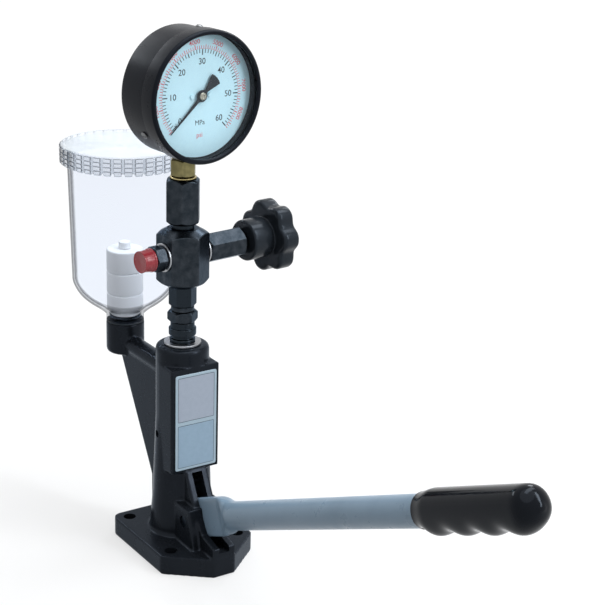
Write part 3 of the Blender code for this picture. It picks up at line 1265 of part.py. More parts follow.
def make_gauge_works(finish, gauge):
    """Brass stem with its socket block, and the Bourdon tube that springs from it."""
    rings = []
    face = BRASS_FLATS / 2.0 - BRASS_CHAMFER / 2.0
    spigot_bottom = BRASS_BOTTOM - BRASS_SPIGOT_HEIGHT
    hex_top = BRASS_BOTTOM + BRASS_HEX_HEIGHT
    socket_top = GAUGE_HEIGHT - SOCKET_TOP_DROP
    rings = [
        circle(BRASS_SPIGOT_RADIUS, spigot_bottom, MIDDLE),
        circle(BRASS_SPIGOT_RADIUS, BRASS_BOTTOM, MIDDLE),
        circle(face, BRASS_BOTTOM, MIDDLE),
        hexagon(BRASS_FLATS, BRASS_BOTTOM, MIDDLE, BRASS_CHAMFER, face, up=False),
        hexagon(BRASS_FLATS, hex_top, MIDDLE, BRASS_CHAMFER, face),
        circle(face, hex_top, MIDDLE),
        circle(BRASS_NECK_RADIUS, hex_top, MIDDLE),
        circle(BRASS_NECK_RADIUS, socket_top - SOCKET_HALF, MIDDLE),
        circle(SOCKET_HALF, socket_top - SOCKET_HALF, MIDDLE),
        circle(SOCKET_HALF, socket_top, MIDDLE),
        circle(PASSAGE_RADIUS, socket_top, MIDDLE),
        circle(PASSAGE_RADIUS, spigot_bottom + BRASS_CHAMFER, MIDDLE),
    ]
    piece("gauge_stem", ring_mesh(rings), finish["brass"], parent=gauge.parent, turn=(0.0, 0.0, ADAPTOR_TURN))
    rings = []
    start = -math.pi / 2.0 - math.asin((BRASS_NECK_RADIUS + GAP) / (TUBE_PATH_RADIUS - TUBE_HALF_HEIGHT))
    for i in range(TUBE_STEPS + 1):
        angle = start - TUBE_SWEEP * i / TUBE_STEPS
        out = Vector((-math.sin(angle), math.cos(angle), 0.0))
        centre = out * TUBE_PATH_RADIUS
        ring = []
        for k in range(8):
            turn = 2.0 * math.pi * k / 8
            deep = Vector((0.0, 0.0, TUBE_HALF_DEPTH * math.sin(turn)))
            ring.append(centre + out * (TUBE_HALF_HEIGHT * math.cos(turn)) + deep)
        rings.append(ring)
    piece("bourdon_tube", ring_mesh(rings), finish["brass"], parent=gauge)


def make_gauge(finish, head):
    gauge = frame("gauge_axis", (0.0, 0.0, GAUGE_HEIGHT), (0.0, math.pi / 2.0, 0.0), parent=head)
    make_gauge_shell(finish, gauge)
    make_gauge_screws(finish, gauge)
    make_dial(finish, gauge)
    sweep = frame("pointer_sweep", turn=(0.0, 0.0, POINTER_ZERO + math.pi / 2.0), parent=gauge)
    make_pointer(finish, sweep)
    swing = frame("sector_swing", (SECTOR_DROP, 0.0, 0.0), (0.0, 0.0, SECTOR_START), parent=gauge)
    make_movement(finish, gauge, swing)
    make_gauge_works(finish, gauge)


def cup_profile(inset):
    """Wall line of the cup, from the seat to the rim, offset inwards."""
    low = CUP_BOTTOM + CUP_SEAT_HEIGHT
    rise = CUP_LOW_HEIGHT - CUP_SEAT_HEIGHT
    spread = CUP_LOW_RADIUS - CUP_SEAT_RADIUS
    points = [(CUP_SEAT_RADIUS - inset, low + inset)]
    for across, up in CUP_CONE_SHARES:
        points.append((CUP_SEAT_RADIUS - inset + spread * across, low + inset + (rise - inset) * up))
    points.append((CUP_LOW_RADIUS - inset, low + rise))
    points.append((CUP_TOP_RADIUS - inset, CUP_BOTTOM + CUP_HEIGHT))
    return points


def make_cup(finish, cup):
    profile = [(NIPPLE_RADIUS + FIT, CUP_BOTTOM), (CUP_SEAT_RADIUS, CUP_BOTTOM)]
    profile += cup_profile(0.0)
    profile += list(reversed(cup_profile(CUP_WALL)))
    profile += [(CUP_SEAT_RADIUS - CUP_WALL, CUP_FLOOR), (NIPPLE_RADIUS + FIT, CUP_FLOOR)]
    turned("oil_cup", profile, FINE, finish["clear"], through=True, parent=cup)
    low = BOSS_TOP + GAP
    gasket = tube_profile(CUP_SEAT_RADIUS, NIPPLE_RADIUS + FIT, low, low + GASKET_THICKNESS)
    turned("cup_gasket", gasket, MIDDLE, finish["rubber"], through=True, parent=cup)
    flange_low = CUP_FLOOR + GAP
    flange_high = flange_low + NIPPLE_FLANGE_HEIGHT
    profile = [
        (NIPPLE_BORE_RADIUS, BOSS_TOP - NIPPLE_DEPTH),
        (NIPPLE_RADIUS, BOSS_TOP - NIPPLE_DEPTH),
        (NIPPLE_RADIUS, flange_low),
        (NIPPLE_FLANGE_RADIUS, flange_low),
        (NIPPLE_FLANGE_RADIUS, flange_high),
        (NIPPLE_RADIUS, flange_high),
        (NIPPLE_RADIUS, flange_high + NIPPLE_RISE),
        (NIPPLE_BORE_RADIUS, flange_high + NIPPLE_RISE),
    ]
    turned("cup_nipple", profile, COARSE, finish["brass"], through=True, parent=cup)


def make_lid(finish, cup):
    """Lid whose skirt hangs over the cup's rim."""
    rim = CUP_BOTTOM + CUP_HEIGHT
    lift = frame("lid_lift", (0.0, 0.0, rim), parent=cup)
    skirt_low = LID_TOP + GAP - LID_SKIRT_HEIGHT
    inner = CUP_TOP_RADIUS + LID_PLAY
    top = GAP + LID_TOP
    profile = [
        (inner, GAP),
        (inner, skirt_low),
        (LID_RADIUS - LID_EDGE, skirt_low),
        (LID_RADIUS, skirt_low + LID_EDGE),
        (LID_RADIUS, top - LID_EDGE),
        (LID_RADIUS - LID_EDGE, top),
    ]
    turned("cup_lid", profile, FINE, finish["clear"], parent=lift)


def make_filter(finish, cup):
    high = FILTER_BOTTOM + FILTER_HEIGHT
    step = FILTER_HEIGHT / FILTER_SECTIONS
    bore = FILTER_RADIUS - FILTER_WALL
    foot_top = FILTER_BOTTOM + FILTER_FOOT_HEIGHT
    profile = [(bore, FILTER_BOTTOM), (FILTER_FOOT_RADIUS, FILTER_BOTTOM)]
    profile += [(FILTER_FOOT_RADIUS, foot_top), (FILTER_RADIUS, foot_top)]
    for i in range(1, FILTER_SECTIONS):
        level = FILTER_BOTTOM + step * i
        profile += [
            (FILTER_RADIUS, level - FILTER_GROOVE / 2.0),
            (FILTER_RADIUS - FILTER_GROOVE_DEPTH, level - FILTER_GROOVE / 2.0),
            (FILTER_RADIUS - FILTER_GROOVE_DEPTH, level + FILTER_GROOVE / 2.0),
            (FILTER_RADIUS, level + FILTER_GROOVE / 2.0),
        ]
    hole = FILTER_CAP_PLUG_RADIUS + FIT
    profile += [(FILTER_RADIUS, high), (hole, high), (hole, high - FILTER_WALL), (bore, high - FILTER_WALL)]
    turned("filter_body", profile, MIDDLE, finish["white"], through=True, parent=cup)
    profile = [
        (FILTER_CAP_PLUG_RADIUS, high - FILTER_CAP_PLUG),
        (FILTER_CAP_PLUG_RADIUS, high + GAP),
        (FILTER_CAP_RADIUS, high + GAP),
        (FILTER_CAP_RADIUS, high + GAP + FILTER_CAP_HEIGHT),
    ]
    turned("filter_cap", profile, COARSE, finish["white"], parent=cup)


def tail_half_height(along):
    """Upper half height of the lever's flat tail at a place behind the pivot."""
    if along > -TAIL_SHOULDER:
        return LEVER_FLAT_HALF_HEIGHT
    if along > -TAIL_WAIST_END:
        share = (along + TAIL_WAIST_END) / (TAIL_WAIST_END - TAIL_SHOULDER)
        return TAIL_WAIST + (LEVER_FLAT_HALF_HEIGHT - TAIL_WAIST) * share
    return TAIL_WAIST


def tail_low_half_height(along):
    """Lower half height there, a straight run from the nose to the full flat."""
    share = smooth_share((along + TAIL_REACH) / TAIL_REACH)
    return TAIL_NOSE_RADIUS + (LEVER_FLAT_HALF_HEIGHT - TAIL_NOSE_RADIUS) * share


def lever_section(along, up, down, half_width, squareness):
    """One ring of the lever: rectangle-like when squareness is high, round at 2."""
    points = []
    power = 2.0 / squareness
    for i in range(COARSE):
        angle = 2.0 * math.pi * (i + 0.5) / COARSE
        across = math.copysign(abs(math.cos(angle)) ** power, math.cos(angle))
        rise = math.copysign(abs(math.sin(angle)) ** power, math.sin(angle))
        height = up if rise > 0.0 else down
        points.append(Vector((along, half_width * across, height * rise)))
    return points


def lever_tail_rings():
    rings = []
    square = 7.0
    for degrees in (176.0, 150.0, 122.0, 96.0, 72.0, 50.0):
        angle = math.radians(degrees)
        along = -TAIL_REACH + TAIL_NOSE_RADIUS * math.cos(angle)
        up = TAIL_NOSE_RADIUS * math.sin(angle)
        down = up if along < -TAIL_REACH else tail_low_half_height(along)
        rings.append(lever_section(along, up, down, LEVER_FLAT_HALF_WIDTH, square))
    for along in (-TAIL_WAIST_START, -TAIL_WAIST_END, -TAIL_SHOULDER, 0.0, LEVER_FLAT_END):
        up = tail_half_height(along)
        down = tail_low_half_height(along)
        rings.append(lever_section(along, up, down, LEVER_FLAT_HALF_WIDTH, square))
    return rings


def make_lever(finish, pivot):
    """Tube with one end pressed flat; the flat carries the pivot hole and works the tappet."""
    rings = lever_tail_rings()
    steps = 8
    for i in range(1, steps + 1):
        share = i / steps
        ease = smooth_share(share)
        along = LEVER_FLAT_END + (LEVER_ROUND_START - LEVER_FLAT_END) * share
        half_height = LEVER_FLAT_HALF_HEIGHT + (LEVER_TUBE_RADIUS - LEVER_FLAT_HALF_HEIGHT) * ease
        half_width = LEVER_FLAT_HALF_WIDTH + (LEVER_TUBE_RADIUS - LEVER_FLAT_HALF_WIDTH) * ease
        square = 7.0 - 5.0 * smooth_share(share * 1.6)
        rings.append(lever_section(along, half_height, half_height, half_width, square))
    rings.append(lever_section(LEVER_LENGTH, LEVER_TUBE_RADIUS, LEVER_TUBE_RADIUS, LEVER_TUBE_RADIUS, 2.0))
    bore = LEVER_TUBE_RADIUS - LEVER_TUBE_WALL
    for along in (LEVER_LENGTH, LEVER_ROUND_START):
        rings.append(lever_section(along, bore, bore, bore, 2.0))
    body = piece("lever", ring_mesh(rings), finish["lever"], parent=pivot)
    half = LEVER_FLAT_HALF_WIDTH + OVERRUN
    hole = turned_mesh([(PIN_RADIUS + FIT * 2.0, -half), (PIN_RADIUS + FIT * 2.0, half)], COARSE)
    cut(body, piece("lever_hole_cut", hole, None, parent=pivot, turn=(math.pi / 2.0, 0.0, 0.0)))


def grip_section(share):
    """Half sizes of the grip at a share of its length: up, down and sideways."""
    finger_share = (share - GRIP_FINGER_START_SHARE) / (GRIP_FINGER_END_SHARE - GRIP_FINGER_START_SHARE)
    inside = 0.0 < finger_share < 1.0
    wave = (1.0 - math.cos(2.0 * math.pi * GRIP_FINGERS * finger_share)) / 2.0 if inside else 0.0
    swell = GRIP_LIP_SHARE + (1.0 - GRIP_LIP_SHARE) * smooth_share(share / GRIP_SWELL_SHARE)
    end = max(0.0, (share - GRIP_LIP_SHARE) / (1.0 - GRIP_LIP_SHARE))
    close = math.sqrt(max(0.0, 1.0 - end ** 2.6))
    up = GRIP_TOP * swell * close
    down = (GRIP_BOTTOM * swell + GRIP_FINGER * wave) * close
    side = GRIP_HALF_WIDTH * swell * close
    return up, down, side


def make_grip(finish, pivot):
    """Dipped grip, closed at the far end, with a bore over the lever's tube."""
    rings = []
    steps = 24
    for i in range(steps):
        share = i / steps if i < steps - 3 else 1.0 - 0.9 * (1.0 - i / steps) ** 1.5
        up, down, side = grip_section(share)
        rings.append(lever_section(GRIP_START + GRIP_LENGTH * share, up, down, side, 2.2))
    up, down, side = grip_section(0.998)
    rings.append(lever_section(GRIP_START + GRIP_LENGTH, up, down, side, 2.0))
    rings.reverse()
    bore = LEVER_TUBE_RADIUS + GAP
    for along in (GRIP_START, LEVER_LENGTH + GAP):
        rings.append(lever_section(along, bore, bore, bore, 2.0))
    piece("lever_grip", ring_mesh(rings), finish["grip"], parent=pivot)


def make_lever_pin(finish):
    half = SHOULDER_HALF_WIDTH - PIN_RECESS
    edge = PIN_RECESS / 2.0
    profile = [
        (PIN_RADIUS - edge, -half),
        (PIN_RADIUS, -half + edge),
        (PIN_RADIUS, half - edge),
        (PIN_RADIUS - edge, half),
    ]
    where = {"place": (PIVOT_X, 0.0, PIVOT_Z), "turn": (math.pi / 2.0, 0.0, 0.0)}
    turned("lever_pin", profile, COARSE, finish["steel"], **where)


def build():
    clear_scene()
    finish = make_finishes()
    make_casting(finish)
    make_label(finish)
    make_lock_screw(finish)
    make_pump(finish)
    make_valve_holder(finish)
    make_union_nut(finish)
    head = frame("head", turn=(0.0, 0.0, HEAD_TURN))
    make_manifold(finish, head)
    make_adaptor(finish, head)
    outlet = frame("outlet_axis", (0.0, 0.0, CROSS_HEIGHT), (math.pi / 2.0, 0.0, 0.0), parent=head)
    make_outlet(finish, outlet)
    valve = frame("valve_axis", (0.0, 0.0, CROSS_HEIGHT), (-math.pi / 2.0, 0.0, 0.0), parent=head)
    hex_high, gland_high, seat = make_shutoff(finish, valve)
    turn = frame("valve_turn", parent=valve)
    make_spindle(finish, turn, hex_high, gland_high, seat)
    make_gauge(finish, head)
    cup = frame("cup_axis", (CUP_AXIS_X, 0.0, 0.0))
    make_cup(finish, cup)
    make_lid(finish, cup)
    make_filter(finish, cup)
    pivot = frame("lever_pivot", (PIVOT_X, 0.0, PIVOT_Z), (0.0, -LEVER_TILT, 0.0))
    make_lever(finish, pivot)
    make_grip(finish, pivot)
    make_lever_pin(finish)


build()
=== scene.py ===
"""Looks of a hand-pumped diesel injector tester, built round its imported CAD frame.

Sizes below are millimetres, as in the part's own source; every piece is scaled to metres when it
is published. +X is the lever's side, +Y the shut-off valve's, -X the oil cup's, +Z is up. A profile
lists (radius, height) points from the piece's foot up; a third number rounds that corner.
"""

import json
import math
from math import cos, sin

import bmesh
import bpy
from mathutils import Matrix, Vector


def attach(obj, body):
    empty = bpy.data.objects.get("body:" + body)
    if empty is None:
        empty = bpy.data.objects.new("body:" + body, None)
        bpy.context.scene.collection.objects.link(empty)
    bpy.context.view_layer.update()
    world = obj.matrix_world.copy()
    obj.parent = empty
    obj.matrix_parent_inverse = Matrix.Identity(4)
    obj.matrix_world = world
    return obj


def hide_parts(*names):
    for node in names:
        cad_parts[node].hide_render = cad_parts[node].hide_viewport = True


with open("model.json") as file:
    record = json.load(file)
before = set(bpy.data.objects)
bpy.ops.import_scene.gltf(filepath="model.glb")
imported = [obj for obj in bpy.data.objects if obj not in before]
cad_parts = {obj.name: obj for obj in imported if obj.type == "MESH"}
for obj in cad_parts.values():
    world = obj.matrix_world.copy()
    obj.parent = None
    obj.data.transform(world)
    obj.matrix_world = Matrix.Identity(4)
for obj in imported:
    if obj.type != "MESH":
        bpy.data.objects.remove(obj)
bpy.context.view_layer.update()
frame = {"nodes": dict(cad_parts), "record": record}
NODES = frame["nodes"]
MM = 0.001
DEG = math.pi / 180.0
TAU = 2.0 * math.pi
ROUND = 96
GAUGE_ROUND = 144

# Frames, in millimetres


def columns(x, y, z, origin=(0.0, 0.0, 0.0)):
    """A frame from its three axes and its origin."""
    rows = [[x[i], y[i], z[i], origin[i]] for i in range(3)]
    return Matrix(rows + [[0.0, 0.0, 0.0, 1.0]])


CROSS_Z = 259.8
DIAL_Z = 393.3
CUP_X = -101.5
WORLD = Matrix.Identity(4)
HEAD = Matrix.Rotation(6.5 * DEG, 4, "Z")
TO_OUTLET = columns((1, 0, 0), (0, 0, 1), (0, -1, 0), (0, 0, CROSS_Z))
TO_VALVE = columns((1, 0, 0), (0, 0, -1), (0, 1, 0), (0, 0, CROSS_Z))
OUTLET = HEAD @ TO_OUTLET
VALVE = HEAD @ TO_VALVE
FACE = HEAD @ columns((0, 1, 0), (0, 0, 1), (1, 0, 0), (0, 0, DIAL_Z))
PIVOT = Matrix.Translation((33.0, 0.0, 37.15))
LEVER = PIVOT @ Matrix.Rotation(-24.2 * DEG, 4, "Y")
PIN = PIVOT @ Matrix.Rotation(90.0 * DEG, 4, "X")
CUP = Matrix.Translation((CUP_X, 0.0, 0.0))

# Materials


def new_node(tree, kind, **values):
    """Adds a shader node and sets its inputs; an underscore in a name stands for a space."""
    node = tree.nodes.new("ShaderNode" + kind)
    for key, value in values.items():
        node.inputs[key.replace("_", " ")].default_value = value
    return node


class Look:
    """One procedural material under construction: a Principled shader and the nodes that feed it."""

    def __init__(self, name, roughness, metallic=0.0, specular=0.5, sheen=None):
        self.material = bpy.data.materials.new(name)
        self.material.use_nodes = True
        self.tree = self.material.node_tree
        self.tree.nodes.clear()
        self.output = new_node(self.tree, "OutputMaterial")
        self.shader = new_node(
            self.tree, "BsdfPrincipled", Roughness=roughness, Metallic=metallic,
            Specular_IOR_Level=specular, Specular_Tint=(*(sheen or (1.0, 1.0, 1.0)), 1.0),
        )
        self.link(self.shader.outputs[0], self.output.inputs["Surface"])
        self.place = new_node(self.tree, "TexCoord").outputs["Object"]
        self.height = None

    def link(self, a, b):
        self.tree.links.new(a, b)

    def scaled(self, scale):
        """Object coordinates stretched by a scale along each axis, for streaks."""
        node = new_node(self.tree, "Mapping", Scale=scale)
        self.link(self.place, node.inputs["Vector"])
        return node.outputs[0]

    def noise(self, scale, detail=3.0, rough=0.55, place=None):
        node = new_node(self.tree, "TexNoise", Scale=scale, Detail=detail, Roughness=rough)
        self.link(place or self.place, node.inputs["Vector"])
        return node.outputs["Fac"]

    def ranged(self, value, low, high, to_low=0.0, to_high=1.0):
        node = new_node(self.tree, "MapRange", From_Min=low, From_Max=high, To_Min=to_low, To_Max=to_high)
        self.link(value, node.inputs["Value"])
        return node.outputs[0]

    def cloud(self, scale, detail):
        """Soft patches, from 0 to 1."""
        return self.ranged(self.noise(scale, detail), 0.3, 0.7)

    def math(self, operation, a, b):
        node = new_node(self.tree, "Math")
        node.operation = operation
        for slot, value in enumerate((a, b)):
            if isinstance(value, float):
                node.inputs[slot].default_value = value
            else:
                self.link(value, node.inputs[slot])
        return node.outputs[0]

    def blend(self, share, a, b):
        """Mixes two colours, each a triple or another node's output."""
        node = new_node(self.tree, "Mix")
        node.data_type = "RGBA"
        self.link(share, node.inputs[0])
        for slot, colour in ((6, a), (7, b)):
            if isinstance(colour, tuple):
                node.inputs[slot].default_value = (*colour, 1.0)
            else:
                self.link(colour, node.inputs[slot])
        return node.outputs[2]

    def colour(self, value):
        self.link(value, self.shader.inputs["Base Color"])

    def rough(self, value, roughness):
        """Roughness that wanders about its mean with a noise."""
        uneven = self.ranged(value, 0.25, 0.75, roughness * 0.8, roughness * 1.25)
        self.link(uneven, self.shader.inputs["Roughness"])

    def bump(self, value, distance):
        """Adds relief of a real height in metres; further calls stack on the first."""
        node = new_node(self.tree, "Bump", Distance=distance, Strength=1.0)
        self.link(value, node.inputs["Height"])
        if self.height is not None:
            self.link(self.height, node.inputs["Normal"])
        self.height = node.outputs[0]
        self.link(self.height, self.shader.inputs["Normal"])

    def edges(self, low, high):
        """Share of convex edges that take a lighter colour, partly wear and partly a painted edge highlight,
        from the mesh's pointiness broken up by noise.
        """
        point = new_node(self.tree, "NewGeometry").outputs["Pointiness"]
        bare = self.ranged(point, low, high)
        return self.math("MULTIPLY", bare, self.ranged(self.noise(160.0, 4.0), 0.35, 0.7))


def painted(
    name, deep, light, roughness, edge_wear_and_highlight, specular=0.5, peel=0.00002, edge_wear_and_highlight_share=0.3, sheen=None, metallic=0.0
):
    """Enamel or paint with orange peel, cloudy gloss and a lighter line on its edges that is partly wear and
    partly a painted highlight.
    """
    look = Look(name, roughness, metallic, specular, sheen)
    body = look.blend(look.cloud(22.0, 5.0), deep, light)
    # Lighter edge colour: partly wear, partly a painted highlight along convex edges.
    worn_and_lit_edge = look.math("MULTIPLY", look.edges(0.53, 0.62), edge_wear_and_highlight_share)
    look.colour(look.blend(worn_and_lit_edge, body, edge_wear_and_highlight))
    look.rough(look.noise(70.0, 4.0), roughness)
    look.bump(look.noise(420.0, 2.0), peel)
    look.bump(look.noise(60.0, 3.0), peel * 4.0)
    return look.material


def metal(name, deep, light, roughness, streak, relief=0.000008, worn_and_lit_edge=None, sheen=None):
    """Machined or drawn metal: fine tool lines, stains, and brighter edges that are partly handling wear and
    partly a painted highlight.
    """
    look = Look(name, roughness, metallic=1.0, sheen=sheen)
    stain = look.ranged(look.noise(38.0, 5.0, 0.5), 0.25, 0.75)
    body = look.blend(stain, deep, light)
    # The brighter edge colour is partly wear and partly a painted highlight.
    if worn_and_lit_edge is not None:
        body = look.blend(look.edges(0.515, 0.58), body, worn_and_lit_edge)
    look.colour(body)
    lines = look.noise(900.0, 3.0, 0.6, place=look.scaled((1.0, 1.0, streak)))
    look.rough(lines, roughness)
    look.bump(lines, relief)
    return look.material


def moulded(name, deep, light, roughness, specular=0.5, relief=0.00003, sheen=None):
    """Moulded plastic, rubber or dipped vinyl: slight flow marks and a soft uneven gloss."""
    look = Look(name, roughness, specular=specular, sheen=sheen)
    look.colour(look.blend(look.cloud(30.0, 4.0), deep, light))
    look.rough(look.noise(90.0, 4.0), roughness)
    look.bump(look.noise(110.0, 3.0), relief)
    look.bump(look.noise(900.0, 2.0), relief / 6.0)
    return look.material


def printed(name, deep, light, roughness=0.55):
    """Matt ink or card."""
    look = Look(name, roughness, specular=0.3)
    look.colour(look.blend(look.cloud(260.0, 3.0), deep, light))
    look.bump(look.noise(1200.0, 2.0), 0.000006)
    return look.material


def see_through(name, edge, tint, facing_alpha, edge_alpha, start, steep=3.0, specular=0.5):
    """Clear moulding: most open where it faces the eye, most solid where its wall is seen edge-on. The colour
    it takes edge-on is painted: a dark one is painted shade standing in for refraction along the wall, a pale
    one a painted reflection.
    """
    look = Look(name, 0.04, specular=specular)
    look.colour(look.blend(look.cloud(35.0, 4.0), edge, tuple(min(1.0, c * 1.25) for c in edge)))
    look.bump(look.noise(45.0, 3.0), 0.00006)
    facing = new_node(look.tree, "LayerWeight", Blend=0.5).outputs["Facing"]
    side = look.math("POWER", look.ranged(facing, start, 1.0), steep)
    share = look.ranged(side, 0.0, 1.0, facing_alpha, edge_alpha)
    clear = new_node(look.tree, "BsdfTransparent", Color=(*tint, 1.0))
    mix = new_node(look.tree, "MixShader")
    for slot, source in enumerate((share, clear.outputs[0], look.shader.outputs[0])):
        look.link(source, mix.inputs[slot])
    look.link(mix.outputs[0], look.output.inputs["Surface"])
    return look.material


COOL = (0.72, 0.84, 1.0)
# The lighter edge colours given to the painted and metal finishes below are partly wear and partly a painted
# edge highlight.
FINISH = {
    "casting": painted(
        "black_enamel", (0.0125, 0.015, 0.0195), (0.016, 0.019, 0.024), 0.25, (0.05, 0.058, 0.074), 0.06,
        0.000008, sheen=(0.62, 0.68, 0.76), metallic=0.5,
    ),
    "label": painted(
        "label_film", (0.36, 0.465, 0.54), (0.385, 0.5, 0.58), 0.38, (0.58, 0.62, 0.65), 0.3, 0.00001
    ),
    "steel": metal(
        "bright_steel", (0.27, 0.28, 0.3), (0.36, 0.37, 0.39), 0.3, 6.0, worn_and_lit_edge=(0.46, 0.47, 0.48)
    ),
    "blackened": metal(
        "black_oxide", (0.0165, 0.0215, 0.027), (0.018, 0.0235, 0.0295), 0.28, 5.0, 0.000004,
        (0.06, 0.068, 0.08), (0.66, 0.72, 0.8),
    ),
    "spring": metal("spring_wire", (0.16, 0.16, 0.17), (0.24, 0.24, 0.25), 0.3, 2.0),
    "brass": metal(
        "dull_brass", (0.108, 0.096, 0.044), (0.14, 0.126, 0.062), 0.36, 4.0, 0.00001, (0.3, 0.26, 0.12)
    ),
    "copper": metal("soft_copper", (0.34, 0.28, 0.13), (0.42, 0.35, 0.17), 0.24, 5.0),
    "plastic": moulded(
        "knob_bakelite", (0.012, 0.015, 0.019), (0.0165, 0.02, 0.025), 0.2, 0.16, sheen=COOL
    ),
    "case": painted(
        "case_enamel", (0.0055, 0.0062, 0.009), (0.0085, 0.0095, 0.013), 0.3, (0.035, 0.038, 0.048), 0.09,
        0.00001, sheen=COOL,
    ),
    # The window's pale edge-on colour is a painted reflection.
    "glass": see_through("gauge_glass", (0.62, 0.72, 0.8), (0.99, 0.997, 1.0), 0.02, 0.6, 0.55),
    # The cup wall's dark edge-on colour is painted shade: a dark outline where the wall is seen edge-on.
    "clear": see_through(
        "clear_plastic", (0.022, 0.028, 0.04), (0.955, 0.966, 0.986), 0.006, 0.97, 0.67, 0.6, 0.04
    ),
    "dial": printed("dial_card", (0.59, 0.86, 0.96), (0.62, 0.89, 0.98), 0.5),
    "pointer": painted(
        "pointer_black", (0.008, 0.009, 0.011), (0.013, 0.014, 0.017), 0.5, (0.03, 0.03, 0.04), 0.15, 0.00001
    ),
    "cap": moulded("red_plastic", (0.27, 0.026, 0.036), (0.33, 0.036, 0.047), 0.24, 0.35, 0.00002),
    "white": moulded("porous_white", (0.94, 0.96, 0.98), (0.965, 0.98, 0.99), 0.55, 0.1, 0.00004),
    "lever": painted(
        "lever_paint", (0.172, 0.248, 0.325), (0.203, 0.287, 0.375), 0.3, (0.32, 0.38, 0.46), 0.2,
        edge_wear_and_highlight_share=0.12,
    ),
    "grip": moulded(
        "dipped_vinyl", (0.0032, 0.0036, 0.005), (0.0055, 0.006, 0.008), 0.12, 0.12, 0.00005, COOL
    ),
    "rubber": moulded("nitrile", (0.02, 0.026, 0.034), (0.032, 0.04, 0.05), 0.5, 0.2),
}
SCREW_DARK = metal("zinc_dull", (0.12, 0.125, 0.13), (0.2, 0.205, 0.21), 0.3, 3.0)
HUB = metal("hub_nickel", (0.26, 0.25, 0.2), (0.36, 0.35, 0.29), 0.28, 2.0)
PRINT_BLACK = printed("print_black", (0.014, 0.018, 0.026), (0.022, 0.027, 0.036))
PRINT_RED = printed("print_red", (0.66, 0.085, 0.11), (0.74, 0.13, 0.16))
PANEL_TOP = printed("label_panel_upper", (0.35, 0.4, 0.48), (0.375, 0.425, 0.505), 0.42)
PANEL_LOW = printed("label_panel_lower", (0.275, 0.385, 0.49), (0.3, 0.415, 0.525), 0.42)
# The lid's finishes paint light and shade: the whitish top is a painted reflection of the bright
# surroundings, the dark slopes and grey grooves are painted shade along the knurl, and the pads stay paler
# and clearer.
LID_TOP = see_through("lid_top", (0.72, 0.77, 0.83), (0.96, 0.972, 0.99), 0.12, 0.7, 0.3, 1.2)
LID_PAD = see_through("lid_pads", (0.8, 0.84, 0.89), (0.95, 0.965, 0.985), 0.22, 0.8, 0.35, 1.4)
LID_SLOPE = see_through("lid_slopes", (0.045, 0.055, 0.075), (0.9, 0.93, 0.96), 0.7, 0.95, 0.25, 1.1)
LID_GROOVE = see_through("lid_grooves", (0.4, 0.47, 0.55), (0.93, 0.95, 0.975), 0.35, 0.85, 0.25, 1.1)

# Every CAD node gets its finish; the finer pieces below hide most of the outer ones
SLOT_OF = {row["node"]: row["material_slot"] for row in frame["record"]["subparts"]}
for node_name, cad_node in NODES.items():
    for material_slot in cad_node.material_slots:
        material_slot.material = FINISH[SLOT_OF[node_name]]

# Mesh tools


def as_mesh(name, bm):
    """Turns a bmesh into a mesh and frees it."""
    mesh = bpy.data.meshes.new(name)
    bm.to_mesh(mesh)
    bm.free()
    return mesh


def shown(name, data):
    """A new object in the scene."""
    made = bpy.data.objects.new(name, data)
    bpy.context.scene.collection.objects.link(made)
    return made


def outward(bm):
    """Turns a closed mesh's faces outwards."""
    bmesh.ops.recalc_face_normals(bm, faces=bm.faces[:])
    return bm


def publish(name, bm, place, slot, hides=(), body="stand", finish=None, angle=30.0):
    """Turns a millimetre mesh in its own frame into a piece of the visual model, in metres."""
    bm.transform(Matrix.Scale(MM, 4) @ place)
    mesh = as_mesh(name, outward(bm))
    mesh.shade_smooth()
    mesh.set_sharp_from_angle(angle=angle * DEG)
    mesh.materials.append(finish or FINISH[slot])
    made = shown(name, mesh)
    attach(made, body)
    if hides:
        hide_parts(*hides)
    return made


def soften(points, radius=0.4, steps=3, closed=True):
    """Rounds the corners of a profile. A point may carry its own radius as a third number."""
    count = len(points)
    out = []
    for i, point in enumerate(points):
        here = Vector(point[:2])
        size = point[2] if len(point) > 2 else radius
        before = Vector(points[i - 1][:2]) - here
        after = Vector(points[(i + 1) % count][:2]) - here
        turn = 0.0
        if size > 0.0 and (closed or 0 < i < count - 1) and min(before.length, after.length) >= 1e-6:
            turn = math.pi - before.angle(after)
        if turn < 0.12:
            out.append(tuple(here))
            continue
        back = min(size * math.tan(turn / 2.0), before.length * 0.46, after.length * 0.46)
        start = here + before.normalized() * back
        end = here + after.normalized() * back
        for k in range(steps + 1):
            share = k / steps
            near = start.lerp(here, share)
            far = here.lerp(end, share)
            out.append(tuple(near.lerp(far, share)))
    return out


def skin(rings, closed=False):
    """Skins rings of equal count; a ring of one point closes to a pole, and open ends are capped."""
    bm = bmesh.new()
    layers = [[bm.verts.new(point) for point in ring] for ring in rings]
    pairs = list(zip(layers, layers[1:]))
    if closed:
        pairs.append((layers[-1], layers[0]))
    for low, high in pairs:
        count = max(len(low), len(high))
        for i in range(count):
            j = (i + 1) % count
            corners = [low[i % len(low)], low[j % len(low)], high[j % len(high)], high[i % len(high)]]
            kept = [v for k, v in enumerate(corners) if v is not corners[k - 1]]
            if len(kept) > 2:
                bm.faces.new(kept)
    if not closed:
        for layer in (layers[0], layers[-1]):
            if len(layer) > 2:
                bm.faces.new(layer)
    return bm


def around(radius, angle, level=0.0):
    """The point at an angle about Z."""
    return Vector((radius * cos(angle), radius * sin(angle), level))


def ring_of(radius, height, count=ROUND):
    """A circle of points, or one point where the radius is nothing."""
    if radius < 1e-6:
        return [Vector((0.0, 0.0, height))]
    return [around(radius, TAU * i / count, height) for i in range(count)]


def raised(outline, level):
    """A ring over a flat outline."""
    return [Vector((*point, level)) for point in outline]


